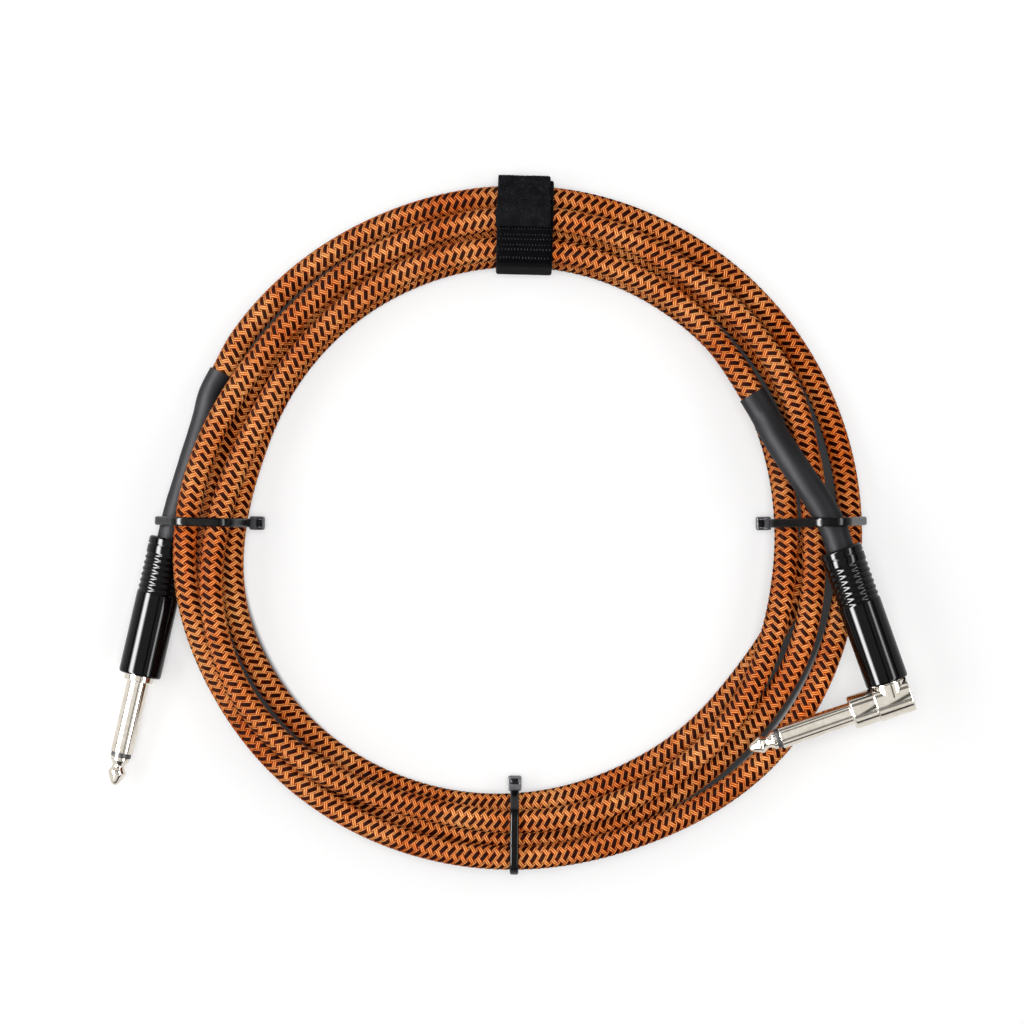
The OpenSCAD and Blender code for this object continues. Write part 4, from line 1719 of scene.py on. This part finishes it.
@dataclass
class HookAndLoopStrap:
    """The strap round the bundle: band, field of hooks, and the tab that closes on it.

    Attributes:
        section: the bundle's section at the strap.
        wrap: gap between the strands and the band.
        hook_t: thickness of the hook field.
        film: gap between hooks and tab.
        tab_end: radius at which the tab ends.
        root_z: height at which it leaves the band.
        tab_shift: distance of the tab's middle from the band's.
        turn_at: distance along the tab at which it turns over the top edge.
        hooks_from: radius at which the hook field starts.
        hooks_to: radius at which it ends.
        loops: number of the pile's loops.
    """

    section: Section
    width: float = 16.0
    wrap: float = 0.35
    band_t: float = 1.2
    hook_t: float = 0.4
    film: float = 0.05
    tab_t: float = 1.1
    tab_end: float = 86.0
    root_z: float = 5.0
    tab_w: float = 15.0
    tab_shift: float = -0.5
    turn_at: float = 16.0
    hooks_from: float = 93.4
    hooks_to: float = 77.0
    row_pitch: float = 1.45
    hook_pitch: float = 0.9
    loops: int = 1500

    @property
    def floor(self) -> float:
        """Height of the band's top over the strands."""
        return self.wrap + self.band_t

    def band(self) -> None:
        """Make the band round the hull."""
        shape = band_section(self.width, self.wrap, self.floor, 41)
        count = 260
        edge = self.section.outline(shape[:1, 1], count)[0]
        length = float(np.linalg.norm(np.diff(edge, axis=0, append=edge[:1]), axis=1).sum())
        piece = add_piece("strap_band_cloth", [self.section.band(shape, count, 2)], [WEBBING],
                          Slot.LOOP, "strap_band", sharp=60.0)
        LOG.info("strap band: %.1f mm round", length)

    def tape(self, bed: Bed) -> None:
        """Make the hook tape: its cross ribs are bell curves, one to a row of hooks.

        Args:
            bed: the stretch that it covers.
        """
        shape = band_section(self.width - 0.8, 0.0, 0.08, 9)
        rib = 0.09 * np.exp(-((((bed.at / self.row_pitch) % 1.0) - 0.5) / 0.16) ** 2)
        height = self.floor - 0.02 + shape[:, 1:] + rib * (shape[:, 1:] > 0.05)
        aside = shape[:, :1] + np.zeros((1, len(bed.at)))
        net = np.swapaxes(bed.points(bed.at, aside, height), 0, 1)
        add_piece("strap_hook_tape", [Skin(net)], [TAPE], Slot.HOOK, "strap_hooks", sharp=45.0)

    def hooks(self) -> None:
        """Make the tape and the rows of small hooks on it.

        A hook is a square tube that stands up from the tape and bends over in a quarter
        circle along the strap, every second row the other way.
        """
        bed = Bed.over(self.section, 0.1, self.hooks_to, start=self.hooks_from)
        self.tape(bed)
        chance = np.random.default_rng(21)
        across = int((self.width - 1.6) / self.hook_pitch)
        bend = np.radians([[0.0], [0.0], [25.0], [50.0], [75.0], [95.0]])
        rise = np.array([[0.0], [0.14], [0.2], [0.24], [0.26], [0.25]])
        over = np.array([[0.0], [0.0], [0.03], [0.09], [0.17], [0.24]])
        ring_x, ring_y = np.array([[-1.0, 1.0, 1.0, -1.0], [-1.0, -1.0, 1.0, 1.0]]) * 0.075
        height = self.floor + 0.05 + rise - ring_x * np.sin(bend)
        skins = []
        for row in range(int(bed.at[-1] / self.row_pitch)):
            odd = row % 2
            way = 1.0 if odd else -1.0
            for column in range(across + 1 - odd):
                jitter = chance.uniform(-1.0, 1.0, 3)
                middle = (row + 0.5) * self.row_pitch + 0.06 * jitter[0]
                beside = (column - (across - odd) / 2.0) * self.hook_pitch + 0.08 * jitter[1]
                run = middle + way * (over * (1.0 + 0.15 * jitter[2]) + ring_x * np.cos(bend))
                skins.append(Skin(bed.points(run, beside + ring_y + 0.0 * height, height)))
        # the hooks' lighter grey is painted highlight
        add_piece("strap_hook_rows", skins, [HOOKS_PAINTED_HIGHLIGHT], Slot.HOOK, sharp=45.0)

    def tab(self) -> None:
        """Make the tab and the pile on it.

        The tab leaves the band low on the outside and closes over the top. It is a little
        narrower than the band, and its corners flare where it turns over the top edge.
        """
        low = self.floor + self.hook_t + self.film
        bed = Bed.over(self.section, 0.2, self.tab_end, root_z=self.root_z)
        shape = band_section(self.tab_w, 0.0, self.tab_t - 0.25, 41)
        along, length = bed.at, float(bed.at[-1])
        aside = self.tab_shift + shape[:, :1] * (1.0 + 0.05 * swell(along, self.turn_at, 4.0))
        top = shape[:, 1:] > 0.5 * self.tab_t
        soft = 0.05 * ripple(along + 0.9 * aside, 5, (6.1, 9.3)) * top
        height = low + shape[:, 1:] + soft - 0.16 * ease(along, length - 1.0, length) * top
        net = np.swapaxes(bed.points(along, aside, height), 0, 1)
        grain = (np.repeat(along[:, None], len(shape), 1), np.swapaxes(aside, 0, 1))
        piece = add_piece("strap_tab_cloth", [Skin(net, bake_rows=2, grain=grain)], [CLOTH],
                          Slot.LOOP, "strap_tab", body=Body.STRAP_TAB, sharp=60.0)
        LOG.info("strap tab: %.1f mm long", length)
        self.pile(bed, low + self.tab_t - 0.28)

    def pile(self, bed: Bed, floor: float) -> None:
        """Make the tab's pile: small half circles that stand at random places and turns.

        Args:
            bed: the stretch that the tab covers.
            floor: height of the loops' feet above it.
        """
        chance = np.random.default_rng(33)
        bow = np.radians([[0.0], [45.0], [90.0], [135.0], [180.0]])
        thick = 0.035
        swing, off = thick * np.cos(round_angles(3)), thick * np.sin(round_angles(3))
        skins = []
        for _ in range(self.loops):
            middle = chance.uniform(0.3, bed.at[-1] - 0.3)
            beside = self.tab_shift + chance.uniform(-0.49, 0.49) * self.tab_w
            turn, r = chance.uniform(0.0, np.pi), chance.uniform(0.1, 0.17)
            reach, up = (r + swing) * np.cos(bow), (r + swing) * np.sin(bow)
            run = middle + reach * math.cos(turn) - off * math.sin(turn)
            side = beside + reach * math.sin(turn) + off * math.cos(turn)
            skins.append(Skin(bed.points(run, side, floor + up)))
        # the loops' lighter grey is painted sheen
        add_piece("strap_tab_pile", skins, [PILE_PAINTED_SHEEN], Slot.LOOP, body=Body.STRAP_TAB, sharp=None)

    def build(self) -> None:
        """Make the strap."""
        for make in (self.band, self.hooks, self.tab):
            make()


# ---------------------------------------------------------------- inner pieces


INNER = {
    "rear_insulator": INSULATOR, "tip_lug": BRASS, "cable_clamp": BRASS, "liner": WHITE,
    "core_insulation": WHITE, "core_wire": COPPER, "shield_tail": COPPER,
}


def finish_inner() -> None:
    """Give the CAD pieces inside the plugs their finishes."""
    for prefix in ("straight", "angle"):
        for part, finish in INNER.items():
            materials = bpy.data.objects[f"{prefix}_{part}"].data.materials
            materials.clear()
            materials.append(finish.material())


# ---------------------------------------------------------------- light and camera


@dataclass
class Studio:
    """The table, the lamps and what the polished pieces mirror.

    The table has a ring of painted shade under the coil, which stands for the shadow in the
    chinks between the strands: it shows only in them, and fades at its edges like a soft contact
    shadow.

    Attributes:
        camera_at: the camera's place, in metres.
        lens: focal length for a 36 mm sensor.
        painted_shade_ring: radii over which the painted shade ring fades back into the table, on
            its inside and outside.
        shade_ring_share: brightness of the painted shade ring beside the table's.
        cards: name, middle and half width in degrees off the upright, distance in metres,
            brightness, whether soft and whether level, of each long card.
        lamps: name, place in metres, sides in metres and watts of each lamp.
    """

    camera_at: Row = (-0.00143, 0.00514, 0.91)
    lens: float = 110.8
    painted_shade_ring: tuple[tuple[float, float], tuple[float, float]] = ((81.5, 79.5), (93.0, 95.5))
    shade_ring_share: float = 0.06
    cards: tuple[tuple, ...] = (
        ("strip_left", -51.0, 17.0, 1.1, 70.0, True, False),
        ("strip_right", 44.0, 9.0, 1.1, 22.0, True, False),
        ("flag_left", -73.0, 4.0, 1.2, 0.05, False, False),
        ("flag_middle", 13.0, 4.0, 1.2, 0.06, False, False),
        ("flag_right", 66.0, 6.0, 1.2, 0.05, False, False),
        ("flag_near", -75.0, 8.0, 1.3, 0.04, False, True),
        ("flag_front", -36.0, 10.0, 1.3, 0.3, False, True),
        ("flag_back", 44.0, 9.0, 1.3, 0.2, False, True),
        ("flag_far", 76.0, 8.0, 1.3, 0.04, False, True),
    )
    lamps: tuple[tuple, ...] = (
        ("lamp_left", (-0.8, 0.1, 0.9), (0.5, 1.2), 4.5),
        ("lamp_right", (0.8, 0.1, 0.9), (0.5, 1.2), 3.5),
        ("lamp_top", (0.0, 0.0, 1.3), (0.6, 0.6), 9.0),
    )

    def camera(self) -> None:
        """Look straight down on the coil, with +Y up."""
        data = bpy.data.cameras.new("camera")
        data.lens, data.sensor_width = self.lens, 36.0
        data.clip_start, data.clip_end = 0.05, 20.0
        camera = add_object("camera", data)
        camera.location = self.camera_at
        bpy.context.scene.camera = camera

    def world(self) -> None:
        """White where it is seen or mirrored, and a plain level as light."""
        nodes = Nodes(bpy.data.worlds.new("studio"))
        path = nodes.add("ShaderNodeLightPath").outputs
        seen = nodes.math("MAXIMUM", path["Is Camera Ray"], path["Is Glossy Ray"])
        seen = nodes.math("MAXIMUM", seen, path["Is Transmission Ray"])
        nodes.set(nodes.shader, {
            "Strength": nodes.spread(seen, 0.12, 1.0), "Color": linear("#FFFFFF"),
        })
        bpy.context.scene.world = nodes.owner

    def plain(self, name: str, strength: float) -> bpy.types.Material:
        """A glowing surface, as bright as its "glow" attribute, squared, says.

        Args:
            name: the material's name.
            strength: its brightness at glow 1, where white is 1.

        Returns:
            The material.
        """
        nodes = Nodes(bpy.data.materials.new(name))
        glow = nodes.add("ShaderNodeAttribute", attribute_name="glow").outputs["Fac"]
        level = nodes.math("MULTIPLY", nodes.math("MULTIPLY", glow, glow), strength)
        nodes.set(nodes.shader, {
            "Base Color": linear("#000000"), "Specular IOR Level": 0.0, "Roughness": 1.0,
            "Emission Color": linear("#FFFFFF"), "Emission Strength": level,
        })
        return nodes.owner

    def card(self, name: str, middle: float, half: float, far: float, strength: float,
             soft: bool, level: bool) -> None:
        """A long card that only polished pieces mirror, cut into three across.

        Args:
            name: its name.
            middle: angle off the upright, in degrees, negative to the left or the front.
            half: half its width, in degrees.
            far: its distance, in metres.
            strength: its brightness.
            soft: whether it fades out over its outer thirds.
            level: whether it runs along X in place of Y.
        """
        a = np.radians([middle - half, middle + half])
        lines = np.stack([far * np.sin(a), 0.0 * a, far * np.cos(a)], 1)
        across = lines[0] + (lines[1] - lines[0]) * np.linspace(0.0, 1.0, 4)[:, None]
        points = np.vstack([across + [0.0, end, 0.0] for end in (-0.9, 0.9)])
        points = points[:, [1, 0, 2]] if level else points
        mesh = bpy.data.meshes.new(name)
        faces = [(k, k + 1, k + 5, k + 4) for k in range(3)]
        mesh.from_pydata(points.tolist(), [], faces)
        edge = 0.0 if soft else 1.0
        glow = mesh.attributes.new("glow", "FLOAT", "POINT")
        glow.data.foreach_set("value", [edge, 1.0, 1.0, edge] * 2)
        mesh.materials.append(self.plain(name, strength))
        card = add_object(name, mesh)
        card.visible_camera = card.visible_diffuse = card.visible_shadow = False
        card.visible_transmission = False

    def table(self) -> None:
        """A pale table that keeps the shadows, throws little light back up, and has a ring of
        painted shade under the coil.
        """
        mesh = bpy.data.meshes.new("table")
        corners = [(-3.0, -3.0), (3.0, -3.0), (3.0, 3.0), (-3.0, 3.0)]
        mesh.from_pydata([(x, y, -0.0002) for x, y in corners], [], [(0, 1, 2, 3)])
        nodes = Nodes(bpy.data.materials.new("table_top"))
        lit = nodes.add("ShaderNodeLightPath").outputs["Is Diffuse Ray"]
        place = nodes.add("ShaderNodeTexCoord").outputs["Object"]
        off = nodes.add("ShaderNodeVectorMath", {0: place}, operation="LENGTH").outputs["Value"]
        # painted shade: under the coil the table's colour and glow drop to shade_ring_share, so
        # the chinks between the strands look shadowed
        sides = [
            nodes.add("ShaderNodeMapRange", {0: off, 1: start * MM, 2: end * MM,
                                             3: self.shade_ring_share}, interpolation_type="SMOOTHSTEP")
            for start, end in self.painted_shade_ring
        ]
        clear = nodes.math("MAXIMUM", *(side.outputs[0] for side in sides))
        base, glow = (
            nodes.math("MULTIPLY", nodes.spread(lit, seen, thrown), clear)
            for seen, thrown in ((0.62, 0.25), (0.42, 0.0))
        )
        nodes.set(nodes.shader, {
            "Base Color": base, "Emission Strength": glow, "Emission Color": linear("#FFFFFF"),
            "Roughness": 1.0, "Specular IOR Level": 0.0,
        })
        mesh.materials.append(nodes.owner)
        add_object("table", mesh)

    def lamp(self, name: str, place: Row, size: tuple[float, float], watts: float) -> None:
        """A soft lamp that points at the coil and isn't mirrored.

        Args:
            name: its name.
            place: where it stands, in metres.
            size: its sides, in metres.
            watts: its power.
        """
        data = bpy.data.lights.new(name, "AREA")
        data.shape, data.energy = "RECTANGLE", watts
        data.size, data.size_y = size
        lamp = add_object(name, data)
        lamp.location = place
        lamp.rotation_euler = (0.0, math.atan2(place[0], place[2]), 0.0)
        lamp.visible_glossy = False

    def build(self) -> None:
        """Set up everything round the part."""
        self.world()
        self.table()
        for card in self.cards:
            self.card(*card)
        for lamp in self.lamps:
            self.lamp(*lamp)


# ---------------------------------------------------------------- the whole


@dataclass
class Cable:
    """The coiled cable with everything on it."""

    run: CordRun = field(default_factory=CordRun)
    tie_w: float = 2.5
    sleeve_r: float = 4.1
    strap_w: float = 16.0

    def crossings(self, lead: np.ndarray, bearing: float) -> np.ndarray:
        """Where a sleeve crosses a tie's section, as two circles for its slant.

        Args:
            lead: points of the lead that the sleeve is on.
            bearing: the tie's bearing.

        Returns:
            (radius, height, sleeve radius) rows.
        """
        points = smooth_line(lead, 0.5)
        a = math.radians(bearing)
        side = np.array([math.cos(a), -math.sin(a)])
        off = points[:, :2] @ side
        i = int(np.flatnonzero(off[:-1] * off[1:] < 0.0)[0])
        step = points[i + 1] - points[i]
        p = points[i] + step * off[i] / (off[i] - off[i + 1])
        through = abs(float(unit(step)[:2] @ side))
        shift = self.tie_w / 2 * math.sqrt(1 - through**2) / through
        shift += self.sleeve_r * (1 / through - 1)
        r = math.hypot(p[0], p[1])
        return np.array([[r + off, p[2], self.sleeve_r] for off in (-shift, shift)])

    def build(self) -> None:
        """Make every visible piece."""
        coil, straight, angle = self.run.coil, self.run.straight_points(), self.run.angle_points()
        WovenCord(self.run).build([
            ShrunkSleeve("straight_sleeve", straight[1:], 3).build(),
            ShrunkSleeve("angle_sleeve", angle[1:], 8).build(),
            *StraightPlug(self.run.straight).build(),
            *AnglePlug(self.run.angle).build(),
        ])
        for name, bearing, leads in zip(
            ("left_tie", "right_tie", "bottom_tie"), coil.tie_bearings, ([straight], [angle], [])
        ):
            sleeves = [self.crossings(lead, bearing) for lead in leads]
            circles = np.vstack([coil.circles(bearing, self.tie_w), *sleeves])
            NylonTie(name, Section(bearing, circles), self.tie_w).build()
        circles = coil.circles(coil.strap_bearing, self.strap_w)
        HookAndLoopStrap(Section(coil.strap_bearing, circles), self.strap_w).build()


def main() -> None:
    """Load the frame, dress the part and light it."""
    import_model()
    studio = Studio()
    studio.camera()
    Cable().build()
    finish_inner()
    studio.build()
    scene = bpy.context.scene
    scene.view_settings.view_transform = "Standard"


if __name__ == "__main__":
    main()
